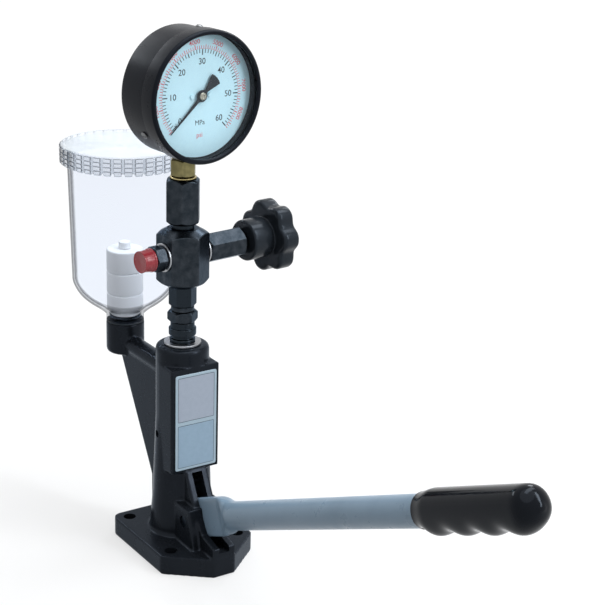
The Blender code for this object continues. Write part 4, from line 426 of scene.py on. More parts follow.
def lathe(profile, closed=False, count=ROUND, radius=0.4, steps=3):
    """Spins a softened profile of (radius, height) points about Z."""
    line = soften(profile, radius, steps, closed)
    return skin([ring_of(r, z, count) for r, z in line], closed)


def hex_outline(tip, corner):
    """A hexagon with slightly rounded corners, as (angle, reach) pairs from the first corner on."""
    per_side = 8
    sharp = []
    for k in range(6):
        a, b = (Vector((cos(j * 60.0 * DEG), sin(j * 60.0 * DEG))) * tip for j in (k, k + 1))
        sharp.append((a.x, a.y, corner))
        sharp += [(*a.lerp(b, j / per_side), 0.0) for j in range(1, per_side)]
    line = soften(sharp, corner, 3)
    return [(math.atan2(y, x), math.hypot(x, y)) for x, y in line]


def match(outline, radius, level):
    """A round ring with one point under each point of a hexagon's outline."""
    return [around(radius, angle, level) for angle, _ in outline]


def nut_rings(flats, low, high, chamfer, face, bevel=0.35, corner=0.5):
    """Side of a hexagonal nut between two turned chamfers, from its lower face to its upper one."""
    tip = flats / 2.0 / cos(30.0 * DEG)
    outline = hex_outline(tip, corner)

    def ring(level, inset, up):
        """The hexagon, lower towards its corners where the turned chamfer cuts them."""
        points = []
        for angle, reach in outline:
            shrunk = reach - inset
            fall = chamfer * max(0.0, shrunk - face) / (tip - face)
            points.append(around(shrunk, angle, level - fall if up else level + fall))
        return points

    rise = Vector((0, 0, bevel))
    rings = [
        match(outline, face, low), ring(low, bevel, False), [p + rise for p in ring(low, 0.0, False)],
        [p - rise for p in ring(high, 0.0, True)], ring(high, bevel, True), match(outline, face, high),
    ]
    return rings, outline


def hexagonal(name, place, node, nut, below, above, slot="blackened", bevel=0.35, corner=0.5):
    """Publishes a nut (flats, low, high, chamfer, face) with profiles of round parts at its ends."""
    side, outline = nut_rings(*nut, bevel, corner)
    before, after = ([match(outline, *point) for point in profile] for profile in (below, above))
    publish(name, skin([*before, *side, *after], closed=True), place, slot, (node,), angle=24.0)


def box_mesh(low, high):
    bm = bmesh.new()
    bmesh.ops.create_cube(bm, size=1.0)
    size = Vector(high) - Vector(low)
    bm.transform(Matrix.Translation((Vector(low) + Vector(high)) / 2.0) @ Matrix.Diagonal((*size, 1.0)))
    return bm


def prism(outline, low, high):
    """Upright solid over an (x, y) outline."""
    return outward(skin([raised(outline, low), raised(outline, high)]))


def side_prism(outline, half):
    """Solid over an (x, z) outline, spread to both sides along Y."""
    bm = prism(outline, -half, half)
    bm.transform(columns((1, 0, 0), (0, 0, 1), (0, -1, 0)))
    return outward(bm)


def rod(radius, low, high, place=WORLD, count=48):
    bm = outward(skin([ring_of(radius, low, count), ring_of(radius, high, count)]))
    bm.transform(place)
    return bm


def joined(*meshes):
    """Puts several meshes into one and frees them."""
    whole = bmesh.new()
    for bm in meshes:
        held = as_mesh("held", bm)
        whole.from_mesh(held)
        bpy.data.meshes.remove(held)
    return whole


def scratch(bm, name="scratch"):
    """A loose object for modifiers, in millimetres."""
    return shown(name, as_mesh(name, bm))


def applied(made):
    """The object's mesh with its modifiers run, as a bmesh; the object is removed."""
    bpy.context.view_layer.update()
    ready = made.evaluated_get(bpy.context.evaluated_depsgraph_get())
    mesh = bpy.data.meshes.new_from_object(ready)
    bm = bmesh.new()
    bm.from_mesh(mesh)
    bpy.data.meshes.remove(mesh)
    bpy.data.objects.remove(made)
    return bm


def carve(bm, *tools):
    """Cuts each closed tool out of a closed mesh."""
    for tool in tools:
        body, cutter = scratch(bm), scratch(tool, "cutter")
        step = body.modifiers.new("cut", "BOOLEAN")
        step.operation, step.solver, step.object = "DIFFERENCE", "EXACT", cutter
        bm = applied(body)
        bpy.data.objects.remove(cutter)
    return bm


# Casting
PLATE_TOP = 16.6
COLUMN_TOP = 182.4
ARM_Z = 152.4
SLOT_HALF = 4.8
SLOT_TOP = 75.6
BOLT_X = (-34.2, 38.5)
BOLT_Y = 32.1
BOLT_HOLE = 5.3
LABEL_HALF = 19.3
LABEL_LOW = 79.0
LABEL_HIGH = 163.6


def plate_outline():
    sharp = [
        (-45.5, -43.8, 9.0), (43.5, -43.8, 6.0), (71.9, -9.4, 4.0),
        (71.9, 9.4, 4.0), (43.5, 43.8, 6.0), (-45.5, 43.8, 9.0),
    ]
    return soften(sharp, 9.0, 6)


def build_casting():
    """Raw shapes fused by a voxel remesh and relaxed, so that every inner corner gets a cast
    fillet; the machined slot, bores and holes are cut afterwards."""
    column = [
        (0.0, 10.0), (27.6, 10.0), (28.6, 16.0, 0.0), (27.0, 19.5, 0.0), (24.6, 52.0), (22.2, 120.0),
        (22.2, COLUMN_TOP, 4.2), (0.0, COLUMN_TOP),
    ]
    cheek = [
        (0.0, 12.0), (71.3, 12.0), (71.3, 25.6), (68.5, 26.3), (51.3, 30.6), (35.7, 55.4),
        (24.6, 76.6), (21.6, 78.2), (0.0, 78.2),
    ]
    web = [(0.0, 12.0), (0.0, ARM_Z), (-93.2, ARM_Z), (-99.0, 141.6), (-43.0, 48.0), (-43.0, 12.0)]
    shoulder = [(14.0, 12.0), (50.2, 12.0), (50.0, 16.6), (42.2, 49.9), (16.0, 49.9)]
    turns = [TAU * i / 40 for i in range(40)]
    arm = skin(
        [[Vector((x, 9.0 * cos(turn), ARM_Z + 7.5 * sin(turn))) for turn in turns]
         for x in (0.0, -50.0, CUP_X)]
    )
    boss = lathe([(0.0, 142.6), (16.6, 142.6, 4.0), (16.6, 170.9, 0.4), (0.0, 170.9)], radius=0.0, steps=5)
    boss.transform(CUP)
    raw = joined(
        prism(plate_outline(), 0.0, PLATE_TOP),
        lathe(column, radius=0.0),
        boss,
        arm,
        side_prism(web, 6.1),
        box_mesh((0.0, -22.4, 76.0), (22.5, 22.4, 168.4)),
        side_prism(shoulder, 17.6),
        side_prism(cheek, 10.4),
    )
    body = scratch(outward(raw), "casting_raw")
    remesh = body.modifiers.new("fuse", "REMESH")
    remesh.mode, remesh.voxel_size = "VOXEL", 0.9
    relax = body.modifiers.new("relax", "SMOOTH")
    relax.factor, relax.iterations = 0.5, 5
    below_foot = box_mesh((-90.0, -90.0, -10.0), (120.0, 90.0, 0.0))
    label_seat = box_mesh((22.75, -LABEL_HALF, LABEL_LOW), (40.0, LABEL_HALF, LABEL_HIGH))
    slot = box_mesh((-13.0, -SLOT_HALF, 14.3), (62.9, SLOT_HALF, SLOT_TOP))
    nose = box_mesh((0.0, -SLOT_HALF, 21.0), (78.0, SLOT_HALF, SLOT_TOP))
    bolts = [
        rod(BOLT_HOLE, -5.0, 22.0, Matrix.Translation((x, side * BOLT_Y, 0.0)))
        for x in BOLT_X for side in (-1.0, 1.0)
    ]
    along_arm = Matrix.Translation((0, 0, ARM_Z)) @ Matrix.Rotation(-90.0 * DEG, 4, "Y")
    lock_screw = Matrix.Translation((0, 0, 104.5)) @ Matrix.Rotation(-97.0 * DEG, 4, "Z")
    bores = [
        rod(14.0, 30.0, 97.0),
        rod(11.08, 96.0, 190.0),
        rod(7.68, 156.6, 176.0, CUP),
        rod(2.0, 0.0, 101.5, along_arm),
        rod(5.08, -30.0, 30.0, PIN),
        rod(3.1, 0.0, 30.0, lock_screw @ Matrix.Rotation(90.0 * DEG, 4, "Y")),
    ]
    bm = carve(applied(body), below_foot, label_seat, slot, nose, *bolts, *bores)
    publish("cast_stand", bm, WORLD, "casting", ("base_casting",), angle=38.0)


def rounded_plate(half_y, low_z, high_z, corner):
    """Outline of an upright plate as (y, z) points."""
    sharp = [(-half_y, low_z), (half_y, low_z), (half_y, high_z), (-half_y, high_z)]
    return soften(sharp, corner, 5)


def frame_line(half_y, low_z, high_z, corner, width, low, high):
    """A thin printed line round a panel."""
    outer = rounded_plate(half_y, low_z, high_z, corner)
    inner = rounded_plate(half_y - width, low_z + width, high_z - width, max(corner - width, 0.1))
    rings = [raised(outer, low), raised(outer, high), raised(inner, high), raised(inner, low)]
    return skin(rings, closed=True)


def build_label():
    """The film on the pad, with two printed panels inside thin black lines."""
    to_pad = columns((0, 1, 0), (0, 0, 1), (1, 0, 0))
    outline = rounded_plate(LABEL_HALF, LABEL_LOW, LABEL_HIGH, 2.0)
    inset = rounded_plate(19.1, 79.2, 163.4, 1.9)
    film = skin([raised(outline, 22.8), raised(outline, 23.25), raised(inset, 23.4)])
    publish("label_film", film, to_pad, "label", ("label_plate",))
    panel_half, corner, ink_low = 17.1, 1.0, 23.38
    for name, low, high, finish in (
        ("label_upper", 122.4, 161.4, PANEL_TOP), ("label_lower", 81.2, 119.0, PANEL_LOW)
    ):
        panel = prism(rounded_plate(panel_half, low, high, corner), ink_low, 23.44)
        publish(name, panel, to_pad, "label", finish=finish)
        line = frame_line(panel_half, low, high, corner, 0.32, ink_low, 23.48)
        publish(name + "_line", line, to_pad, "label", finish=PRINT_BLACK)


# Lever and grip, measured along the lever from its pivot
TAIL_END = -33.0
TAIL_RADIUS = 9.0
FLAT_RISE = 16.2
FLAT_HALF = 4.5
FLAT_END = 38.0
TUBE_START = 64.0
TUBE_RADIUS = 11.8
TUBE_INNER = 9.6
TUBE_END = 412.0
GRIP_START = 326.0
GRIP_LENGTH = 121.0


def smooth_share(value):
    """An S-shaped rise from 0 to 1."""
    value = min(1.0, max(0.0, value))
    return value * value * (3.0 - 2.0 * value)


def section(along, up, down, half_width, squareness):
    """A rounded section: squareness 2 is an ellipse, 8 nearly a rectangle."""
    count = 56
    points = []
    power = 2.0 / squareness
    for i in range(count):
        angle = TAU * (i + 0.5) / count
        across = math.copysign(abs(cos(angle)) ** power, cos(angle))
        rise = math.copysign(abs(sin(angle)) ** power, sin(angle))
        points.append(Vector((along, half_width * across, (up if rise > 0.0 else down) * rise)))
    return points


def round_section(along, radius):
    return section(along, radius, radius, radius, 2.0)


def tail_up(along):
    """How far the flat end's top edge is above the lever's axis."""
    if along > -7.0:
        return FLAT_RISE
    if along > -20.0:
        slope = (along + 20.0) / 13.0
        return 6.8 + 9.4 * smooth_share(slope) * 0.35 + 9.4 * 0.65 * slope
    return 6.8


def tail_down(along):
    """How far its lower edge is below the axis."""
    return TAIL_RADIUS + 7.2 * smooth_share((along - TAIL_END) / 33.0)


def build_lever():
    """Flat end with a round tail, a blend from flat to round, and a tube with an open far end."""
    rings = []
    for degrees in (178.0, 165.0, 150.0, 135.0, 120.0, 105.0, 90.0, 75.0, 60.0, 50.0):
        along = TAIL_END + TAIL_RADIUS * cos(degrees * DEG)
        up = TAIL_RADIUS * sin(degrees * DEG)
        down = up if along < TAIL_END else tail_down(along)
        rings.append(section(along, up, down, 4.4, 8.0))
    flat = (-26.0, -23.0, -20.0, -17.0, -14.0, -11.0, -8.5, -7.0, -4.0, 0.0, 6.0, 12.0, 20.0, 30.0, FLAT_END)
    for along in flat:
        rings.append(section(along, tail_up(along), tail_down(along), FLAT_HALF, 8.0))
    blend_steps = 24
    for i in range(1, blend_steps + 1):
        share = i / blend_steps
        ease = smooth_share(share)
        along = FLAT_END + (TUBE_START - FLAT_END) * share
        half = FLAT_RISE + (TUBE_RADIUS - FLAT_RISE) * ease
        width = FLAT_HALF + (TUBE_RADIUS - FLAT_HALF) * ease
        rings.append(section(along, half, half, width, 8.0 - 6.0 * smooth_share(share * 1.5)))
    for along in (80.0, 140.0, 200.0, 260.0, 326.0, 380.0, 411.4):
        rings.append(round_section(along, TUBE_RADIUS))
    for along, radius in ((TUBE_END, 11.2), (TUBE_END, TUBE_INNER), (TUBE_START, TUBE_INNER)):
        rings.append(round_section(along, radius))
    hole = rod(5.16, -12.0, 12.0, Matrix.Rotation(90.0 * DEG, 4, "X"))
    bm = carve(outward(skin(rings)), hole)
    publish("pump_lever", bm, LEVER, "lever", ("lever",), "lever", angle=40.0)


def grip_section(share):
    """Half heights above and below the axis, and the half width, at a share of the grip's length."""
    fingers = (share - 0.02) / 0.95
    wave = (1.0 - cos(8.0 * math.pi * fingers)) / 2.0 if 0.0 < fingers < 1.0 else 0.0
    swell = 0.88 + 0.12 * smooth_share(share / 0.12)
    end = max(0.0, (share - 0.88) / 0.12)
    close = math.sqrt(max(0.0, 1.0 - end ** 2.6))
    return 15.4 * swell * close, (13.5 * swell + 3.3 * wave) * close, 14.6 * swell * close


def build_grip():
    """Dipped grip: smooth back, four finger rests whose hollows run round the underside."""
    rings = []
    steps = 90
    for i in range(steps + 1):
        share = i / steps
        share = share if share < 0.88 else 1.0 - 0.12 * (1.0 - (share - 0.88) / 0.12) ** 1.7
        squareness = 2.2 - 0.2 * smooth_share((share - 0.85) / 0.15)
        size = grip_section(min(share, 0.9985))
        rings.append(section(GRIP_START + GRIP_LENGTH * share, *size, squareness))
    rings.reverse()
    lip = [reach - 0.7 for reach in grip_section(0.0)]
    rings.append(section(325.7, *lip, 2.2))
    for along, radius in ((325.6, 12.6), (GRIP_START, 12.1), (412.3, 12.1)):
        rings.append(round_section(along, radius))
    publish("vinyl_grip", skin(rings), LEVER, "grip", ("lever_grip",), "lever", angle=60.0)


def build_pin():
    profile = [(0.0, -16.6), (5.0, -16.6, 0.6), (5.0, 16.6, 0.6), (0.0, 16.6)]
    publish("pivot_pin", lathe(profile, count=48), PIN, "blackened", ("lever_pin",))


# Pump and head


def build_stack():
    """The barrel's whole section down to its open foot, the holder's collars and the union nut."""
    barrel = [
        (4.08, 96.0), (11.0, 96.0), (11.0, 182.7), (15.4, 182.7), (15.4, 184.7, 0.5), (7.2, 184.7),
        (7.0, 184.7, 0.4), (7.0, 170.4), (4.08, 170.4),
    ]
    publish("barrel_flange", lathe(barrel, True, radius=0.3), WORLD, "steel", ("pump_barrel",))
    holder = [
        (5.5, 170.7), (6.9, 170.7), (6.9, 185.0), (10.6, 185.0, 0.3), (10.6, 187.4, 0.9), (8.8, 187.9, 0.8),
        (8.8, 190.3, 0.8), (11.4, 190.6, 1.0), (11.4, 196.6, 1.0), (10.0, 196.9, 0.3), (10.0, 202.0, 0.5),
        (6.8, 202.0, 0.1), (6.8, 206.2, 0.3), (1.6, 206.2), (1.6, 194.7), (5.5, 194.7),
    ]
    bm = lathe(holder, True, radius=0.2)
    publish("valve_holder", bm, WORLD, "blackened", ("delivery_valve_holder",))
    nut = (22.0, 202.3, 211.5, 1.6, 10.2)
    hexagonal("union_nut_finish", HEAD, "union_nut", nut, [(6.88, 202.3)], [(6.88, 211.5)])


def build_manifold():
    """Stem and block are one bar: a hexagon under a larger one with steep turned chamfers."""
    block_low, block_high, bore = 233.0, 281.6, 1.6
    stem, outline = nut_rings(20.0, 215.8, 233.4, 1.0, 9.2)
    spigot = [(bore, 207.6), (6.8, 207.6), (6.8, 211.8), (9.3, 211.8), (9.6, 212.1), (9.6, 215.2)]
    rings = [match(outline, *point) for point in spigot] + stem[:3]
    rings.append([Vector((p.x, p.y, 233.3)) for p in stem[2]])
    block, wide = nut_rings(37.8, block_low, block_high, 5.2, 13.0, bevel=0.45, corner=0.8)
    rings += [match(wide, 12.9, block_low), *block[1:-1]]
    gauge_hole = [(13.0, block_high), (6.58, block_high), (6.58, 271.3), (bore, 271.3)]
    rings += [match(wide, *point) for point in gauge_hole]
    side_holes = [rod(7.5, 7.6, 30.0, TO_OUTLET), rod(7.5, 7.6, 30.0, TO_VALVE)]
    bm = carve(outward(skin(rings, closed=True)), *side_holes, rod(2.0, -9.4, 9.4, TO_VALVE, 24))
    publish("cross_block", bm, HEAD, "blackened", ("manifold",), angle=24.0)


def build_adaptor():
    """Black hexagon on the block, copper ring, and the gauge's brass hexagon."""
    place = HEAD @ Matrix.Rotation(20.0 * DEG, 4, "Z")
    hexagonal(
        "gauge_adaptor_finish", place, "gauge_adaptor", (26.0, 285.9, 322.9, 2.4, 12.1),
        [(1.6, 271.9), (6.5, 271.9), (6.5, 281.9), (9.1, 281.9), (9.4, 282.2), (9.4, 285.9)],
        [(7.2, 322.9), (7.2, 306.9), (1.6, 306.9)],
        bevel=0.45, corner=0.7,
    )
    washer = [(7.2, 323.2), (10.8, 323.2, 0.7), (10.8, 324.8, 0.7), (7.2, 324.8)]
    publish("sealing_ring", lathe(washer, True, radius=0.2), WORLD, "copper", ("gauge_washer",))
    hexagonal(
        "brass_stem", place, "gauge_stem", (19.0, 325.1, 339.1, 1.0, 9.0),
        [(1.6, 314.1), (6.9, 313.1), (6.9, 325.1)],
        [(8.0, 339.1), (8.0, 360.8), (6.5, 360.8), (6.5, 367.3), (1.6, 367.3)],
        slot="brass",
    )


def build_cross_fittings():
    """Outlet with its red cap, and the shut-off valve's body with its gland."""
    washer = [(7.28, 19.2), (11.8, 19.2, 0.5), (11.8, 20.7, 0.5), (7.28, 20.7)]
    for name, place, node in (
        ("outlet_seal", OUTLET, "outlet_washer"), ("valve_seal", VALVE, "valve_washer")
    ):
        publish(name, lathe(washer, True, radius=0.2), place, "steel", (node,))
    thread = [(1.6, 7.9), (7.2, 7.9), (7.2, 21.0)]
    spigot = [(7.0, 31.0), (7.0, 37.6), (6.6, 38.0), (1.6, 38.0)]
    nut = (19.0, 21.0, 31.0, 0.9, 9.05)
    hexagonal("outlet_fitting", OUTLET, "outlet_nipple", nut, thread, spigot, bevel=0.3)
    cap = [
        (7.08, 31.3), (9.8, 31.3, 0.5), (9.8, 32.9, 0.5), (9.35, 33.3, 0.4), (8.6, 40.2, 0.5),
        (8.9, 40.7, 0.4), (9.0, 42.3, 0.7), (7.8, 42.1, 0.2), (7.4, 41.8, 0.2), (0.0, 41.75), (0.0, 38.6),
        (7.08, 38.6),
    ]
    publish("red_cap", lathe(cap, radius=0.3), OUTLET, "cap", ("outlet_cap",), "outlet_cap")
    place = VALVE @ Matrix.Rotation(35.0 * DEG, 4, "Z")
    stem_bore = [(6.0, 58.0), (6.0, 21.0), (3.2, 21.0), (3.2, 12.9), (1.6, 12.9)]
    nut = (22.4, 21.0, 58.0, 1.4, 10.3)
    hexagonal("valve_body_finish", place, "valve_body", nut, thread, stem_bore, bevel=0.4, corner=0.6)
    gland = [(3.58, 50.0), (5.92, 50.0), (5.92, 58.3), (8.6, 58.3, 0.4), (8.6, 61.5, 0.6), (3.58, 61.5, 0.3)]
    publish("gland", lathe(gland, True, radius=0.15), VALVE, "blackened", ("gland_nut",))


KNOB_ROUND = 210
KNOB_REACH = 30.9
KNOB_LOW = 82.5
KNOB_HIGH = 98.6


def star(level, shrink, share=1.0):
    """The knob's seven lobes; a share under 1 draws them in towards a circle."""
    points = []
    for i in range(KNOB_ROUND):
        angle = TAU * i / KNOB_ROUND
        wave = (1.0 - cos(7.0 * (angle + 4.2 * DEG))) / 2.0
        lobe = KNOB_REACH - shrink - 4.2 * wave ** 1.4
        points.append(around(16.9 + (lobe - 16.9) * share, angle, level))
    return points


def build_knob():
    """Long collar and a seven-lobed star whose edges are well rounded."""

    def circles(*profile):
        return [ring_of(radius, level, KNOB_ROUND) for radius, level in profile]

    rings = circles((3.58, 61.8), (14.6, 61.8))
    for step in range(1, 7):
        turn = step / 6 * 90.0 * DEG
        rings += circles((15.2 + 2.2 * sin(turn), 64.0 - 2.2 * cos(turn)))
    rings += circles((17.4, 72.0), (17.4, 80.4), (17.25, 81.1), (16.95, 81.6), (17.1, 82.1))
    for share in (0.08, 0.3, 0.6, 0.85):
        rings.append(star(KNOB_LOW + 0.1 * (1.0 - share), 3.6, share))
    quarter = [step / 7 * 90.0 * DEG for step in range(8)]
    for turn in quarter:
        rings.append(star(86.1 - 3.6 * cos(turn), 3.6 * (1.0 - sin(turn))))
    rings.append(star(90.6, 0.0))
    for turn in quarter:
        rings.append(star(95.4 + 3.2 * sin(turn), 3.2 * (1.0 - cos(turn))))
    for share in (0.85, 0.6, 0.3):
        rings.append(star(KNOB_HIGH, 3.2, share))
    rings += circles(
        (11.5, 98.5), (10.6, 97.9), (6.4, 97.7), (5.6, 98.4), (4.8, KNOB_HIGH),
        (2.38, KNOB_HIGH), (2.38, 82.8), (3.58, 82.8),
    )
    publish("star_knob", skin(rings, closed=True), VALVE, "plastic", ("hand_knob",), "valve_knob", angle=50.0)
    screw = [(0.0, 83.1), (2.3, 83.1), (2.3, 98.9), (4.6, 98.9, 0.2), (4.6, 100.4, 1.1), (0.0, 101.5)]
    driver_slot = box_mesh((-6.0, -0.5, 100.3), (6.0, 0.5, 104.0))
    bm = carve(lathe(screw, count=48, radius=0.2), driver_slot)
    publish("knob_screw_finish", bm, VALVE, "steel", ("knob_screw",), "valve_knob")


# Pressure gauge, whose axis is Z towards the reader, with X to the reader's right
CASE_SCREW_ANGLES = (214.0, 80.0, 330.0)
CASE_SCREW_LEVEL = 8.0
FULL_MPA = 60
FULL_PSI = 8702.0
PSI_PER_MPA = 145.04
ZERO_ANGLE = 222.5
SWEEP = 270.0
DIAL_TOP = 22.3
INK_LOW = DIAL_TOP - 0.05
INK_HIGH = DIAL_TOP + 0.06


def radial(degrees):
    """Frame whose Z runs outwards through a case screw, at an angle from the reader's right."""
    angle = degrees * DEG
    turned = columns(
        (0, 0, 1), (sin(angle), -cos(angle), 0), (cos(angle), sin(angle), 0)
    )
    return Matrix.Translation((0, 0, CASE_SCREW_LEVEL)) @ turned


def build_gauge_shell():
    """Case, bezel, window and the three screws round the case."""
    case = [
        (0.0, -12.5), (51.0, -12.5, 2.6), (51.0, 26.4, 0.3), (49.4, 26.4, 0.2), (49.4, -10.9, 1.2),
        (0.0, -10.9),
    ]
    bm = outward(lathe(case, count=GAUGE_ROUND, radius=0.3, steps=6))
    stem = rod(8.3, 0.0, 60.0, columns((1, 0, 0), (0, 0, 1), (0, -1, 0)), 64)
    holes = [rod(1.6, 40.0, 60.0, radial(degrees), 24) for degrees in CASE_SCREW_ANGLES]
    publish("gauge_shell", carve(bm, stem, *holes), FACE, "case", ("gauge_case",))
    bezel = [
        (51.3, 18.1), (52.6, 18.1, 0.5), (52.6, 31.5, 1.4), (51.2, 33.1, 1.0), (49.3, 33.1, 0.9),
        (48.4, 32.0, 0.6), (48.4, 30.7, 0.3), (51.3, 30.7),
    ]
    bm = lathe(bezel, True, GAUGE_ROUND, 0.2, 5)
    publish("gauge_rim", bm, FACE, "case", ("gauge_bezel",))
    window = [(0.0, 27.4), (50.8, 27.4), (50.8, 29.8, 0.2), (0.0, 29.8)]
    bm = lathe(window, count=GAUGE_ROUND, radius=0.2)
    publish("gauge_glass", bm, FACE, "glass", ("gauge_window",))
    screw = [
        (0.0, 47.8), (1.5, 47.8), (1.5, 51.3), (3.0, 51.3, 0.1), (3.0, 51.9, 0.5), (1.9, 52.9, 0.5),
        (0.0, 52.9),
    ]
    for i, degrees in enumerate(CASE_SCREW_ANGLES):
        bm = carve(
            lathe(screw, count=40, radius=0.2),
            box_mesh((-4.0, -0.32, 52.1), (4.0, 0.32, 54.0)),
            box_mesh((-0.32, -1.8, 52.1), (0.32, 1.8, 54.0)),
        )
        node = f"case_screw_{i + 1}"
        publish(f"case_screw_finish_{i + 1}", bm, FACE @ radial(degrees), "steel", (node,), finish=SCREW_DARK)


def face_angle(mega_pascal):
    """Where a pressure stands on the dial."""
    return (ZERO_ANGLE - SWEEP * mega_pascal / FULL_MPA) * DEG


def ink_bar(low, high, width):
    """A thin printed bar along X."""
    return box_mesh((low, -width / 2.0, INK_LOW), (high, width / 2.0, INK_HIGH))


def tick(angle, low, high, width):
    """A printed tick: a thin raised bar across the scale's arc."""
    bm = ink_bar(low, high, width)
    bm.transform(Matrix.Rotation(angle, 4, "Z"))
    return bm


def written(text, size, place, weight=0.0):
    """A line of figures as a thin mesh, centred on its place, in millimetres."""
    curve = bpy.data.curves.new("figures", "FONT")
    curve.body, curve.size, curve.align_x, curve.align_y = text, size, "CENTER", "CENTER"
    curve.extrude, curve.offset, curve.resolution_u = 0.05, weight, 4
    bm = applied(shown("figures", curve))
    bmesh.ops.remove_doubles(bm, verts=bm.verts[:], dist=0.0005)
    bm.transform(place)
    return bm


def arc_band(radius, width, start, end):
    """A thin printed arc on the dial."""
    steps = 120
    inner, outer = radius - width / 2.0, radius + width / 2.0
    corners = ((inner, INK_LOW), (outer, INK_LOW), (outer, INK_HIGH), (inner, INK_HIGH))
    angles = [start + (end - start) * i / steps for i in range(steps + 1)]
    return skin([[around(reach, angle, level) for reach, level in corners] for angle in angles])


def build_dial():
    """Pale blue card with a black scale in MPa and an outer red one in psi."""
    card = [(3.0, 21.5), (48.6, 21.5), (48.6, DIAL_TOP, 0.15), (3.0, DIAL_TOP)]
    bm = outward(lathe(card, True, count=GAUGE_ROUND, radius=0.05))
    holes = [rod(0.98, 20.0, 24.0, Matrix.Translation((side * 8.5, 0, 0)), 20) for side in (-1, 1)]
    publish("dial_card", carve(bm, *holes), FACE, "dial", ("gauge_dial",))
    black = []
    for step in range(FULL_MPA + 1):
        low, width = (31.6, 0.9) if step % 10 == 0 else (32.4, 0.75) if step % 5 == 0 else (33.2, 0.62)
        black.append(tick(face_angle(float(step)), low, 36.2, width))
    for value in range(0, FULL_MPA + 1, 10):
        place = Matrix.Translation(around(26.6, face_angle(float(value)), DIAL_TOP))
        black.append(written(str(value), 6.8, place, 0.06))
    black.append(written("MPa", 5.6, Matrix.Translation((-0.6, -21.2, DIAL_TOP))))
    zero = face_angle(0.0)
    for turn in (-38.0, 38.0):
        bar = ink_bar(-2.0, 2.0, 0.4)
        bar.transform(
            Matrix.Translation(around(31.5, zero)) @ Matrix.Rotation(zero + (90.0 + turn) * DEG, 4, "Z")
        )
        black.append(bar)
    publish("scale_black", joined(*black), FACE, "dial", finish=PRINT_BLACK, angle=40.0)
    arc = 36.6
    red = [arc_band(arc, 0.2, face_angle(FULL_PSI / PSI_PER_MPA), zero)]
    for step in range(88):
        angle = face_angle(step * 100.0 / PSI_PER_MPA)
        high, width = (40.2, 0.75) if step % 10 == 0 else (39.6, 0.6) if step % 5 == 0 else (39.0, 0.5)
        red.append(tick(angle, arc, high, width))
    for pounds in range(1000, 9000, 1000):
        upright = Matrix.Rotation(face_angle(pounds / PSI_PER_MPA) - math.pi / 2.0, 4, "Z")
        red.append(written(str(pounds), 5.2, upright @ Matrix.Translation((0.0, 42.2, DIAL_TOP)), 0.03))
    red.append(written("psi", 5.4, Matrix.Translation((-0.8, -31.0, DIAL_TOP))))
    publish("scale_red", joined(*red), FACE, "dial", finish=PRINT_RED, angle=40.0)


def build_pointer():
    """Black pointer with a fan tail, a round boss and a bright turned hub cap."""
    place = FACE @ Matrix.Rotation(face_angle(0.0), 4, "Z")
    boss = [around(4.8, degrees * DEG).xy for degrees in (25.0, 50.0, 75.0, 100.0, 125.0, 150.0)]
    half = [(40.2, 0.25), (5.4, 1.3, 0.5), *boss, (-5.6, 1.3, 0.8), (-18.0, 5.5, 0.5), (-19.0, 2.8)]
    outline = half + [(-19.3, 0.0)] + [(x, -y, *more) for x, y, *more in reversed(half)]
    bm = prism(soften(outline, 0.0, 4), 23.9, 24.6)
    bm = carve(bm, rod(1.08, 20.0, 26.0, WORLD, 24))
    publish("dial_pointer", bm, place, "pointer", ("gauge_pointer",), "pointer")
    hub = [
        (0.0, 24.64), (3.1, 24.64, 0.1), (3.1, 25.7, 0.5), (2.6, 26.2, 0.2), (1.3, 26.2, 0.2), (1.1, 25.7),
        (0.0, 25.7),
    ]
    publish("pointer_hub", lathe(hub, count=48, radius=0.1), FACE, "steel", body="pointer", finish=HUB)


# Oil cup
FOOT_RADIUS = 16.4
CUP_BORE = 7.68
CUP_WALL = 2.2


def cup_line(inset):
    """The cup's outer line, or its inner one with an inset, from the foot to the straight wall."""
    foot = FOOT_RADIUS - inset
    low = 178.0 + inset
    rise = 33.1 - inset
    points = [(foot, low)]
    for across, up in ((0.25, 0.19), (0.56, 0.39), (0.8, 0.6), (0.95, 0.83)):
        points.append((foot + 29.0 * across, low + rise * up))
    return points + [(45.4 - inset, 211.1), (45.6 - inset, 219.1)]


def curve_through(points):
    """A smooth line through points, straight in its last stretch."""
    steps = 5
    out = []
    for i in range(len(points) - 2):
        a = Vector(points[max(i - 1, 0)])
        b, c, d = Vector(points[i]), Vector(points[i + 1]), Vector(points[i + 2])
        for k in range(steps):
            t = k / steps
            out.append(tuple(
                0.5 * (2.0 * b + (c - a) * t + (2.0 * a - 5.0 * b + 4.0 * c - d) * t * t
                       + (3.0 * b - a - 3.0 * c + d) * t ** 3)
            ))
    return out + [tuple(points[-2]), tuple(points[-1])]


def build_cup():
    """Thin clear wall with a rounded foot, and the gasket under it."""
    outer = [(FOOT_RADIUS, 177.0)] + curve_through(cup_line(0.0))[1:-1]
    inner = curve_through(cup_line(CUP_WALL))[-2::-1]
    line = [(CUP_BORE, 172.6, 0.2), (FOOT_RADIUS, 172.6, 0.8)] + [(*p, 0.0) for p in outer]
    line += [(48.4, 327.1, 0.9), (46.2, 327.1, 0.9)] + [(*p, 0.0) for p in inner]
    line += [(14.2, 174.8, 0.8), (CUP_BORE, 174.8, 0.2)]
    bm = lathe(line, True, count=GAUGE_ROUND, radius=0.2)
    publish("cup_wall", bm, CUP, "clear", ("oil_cup",), angle=50.0)
    gasket = [(CUP_BORE, 170.9), (FOOT_RADIUS, 170.9, 0.5), (FOOT_RADIUS, 172.3, 0.5), (CUP_BORE, 172.3)]
    publish("cup_seal", lathe(gasket, True, radius=0.2), CUP, "rubber", ("cup_gasket",))


LID_EDGE = 313.6
SKIRT_LOW = 314.2
LID_TOP_Z = 328.8


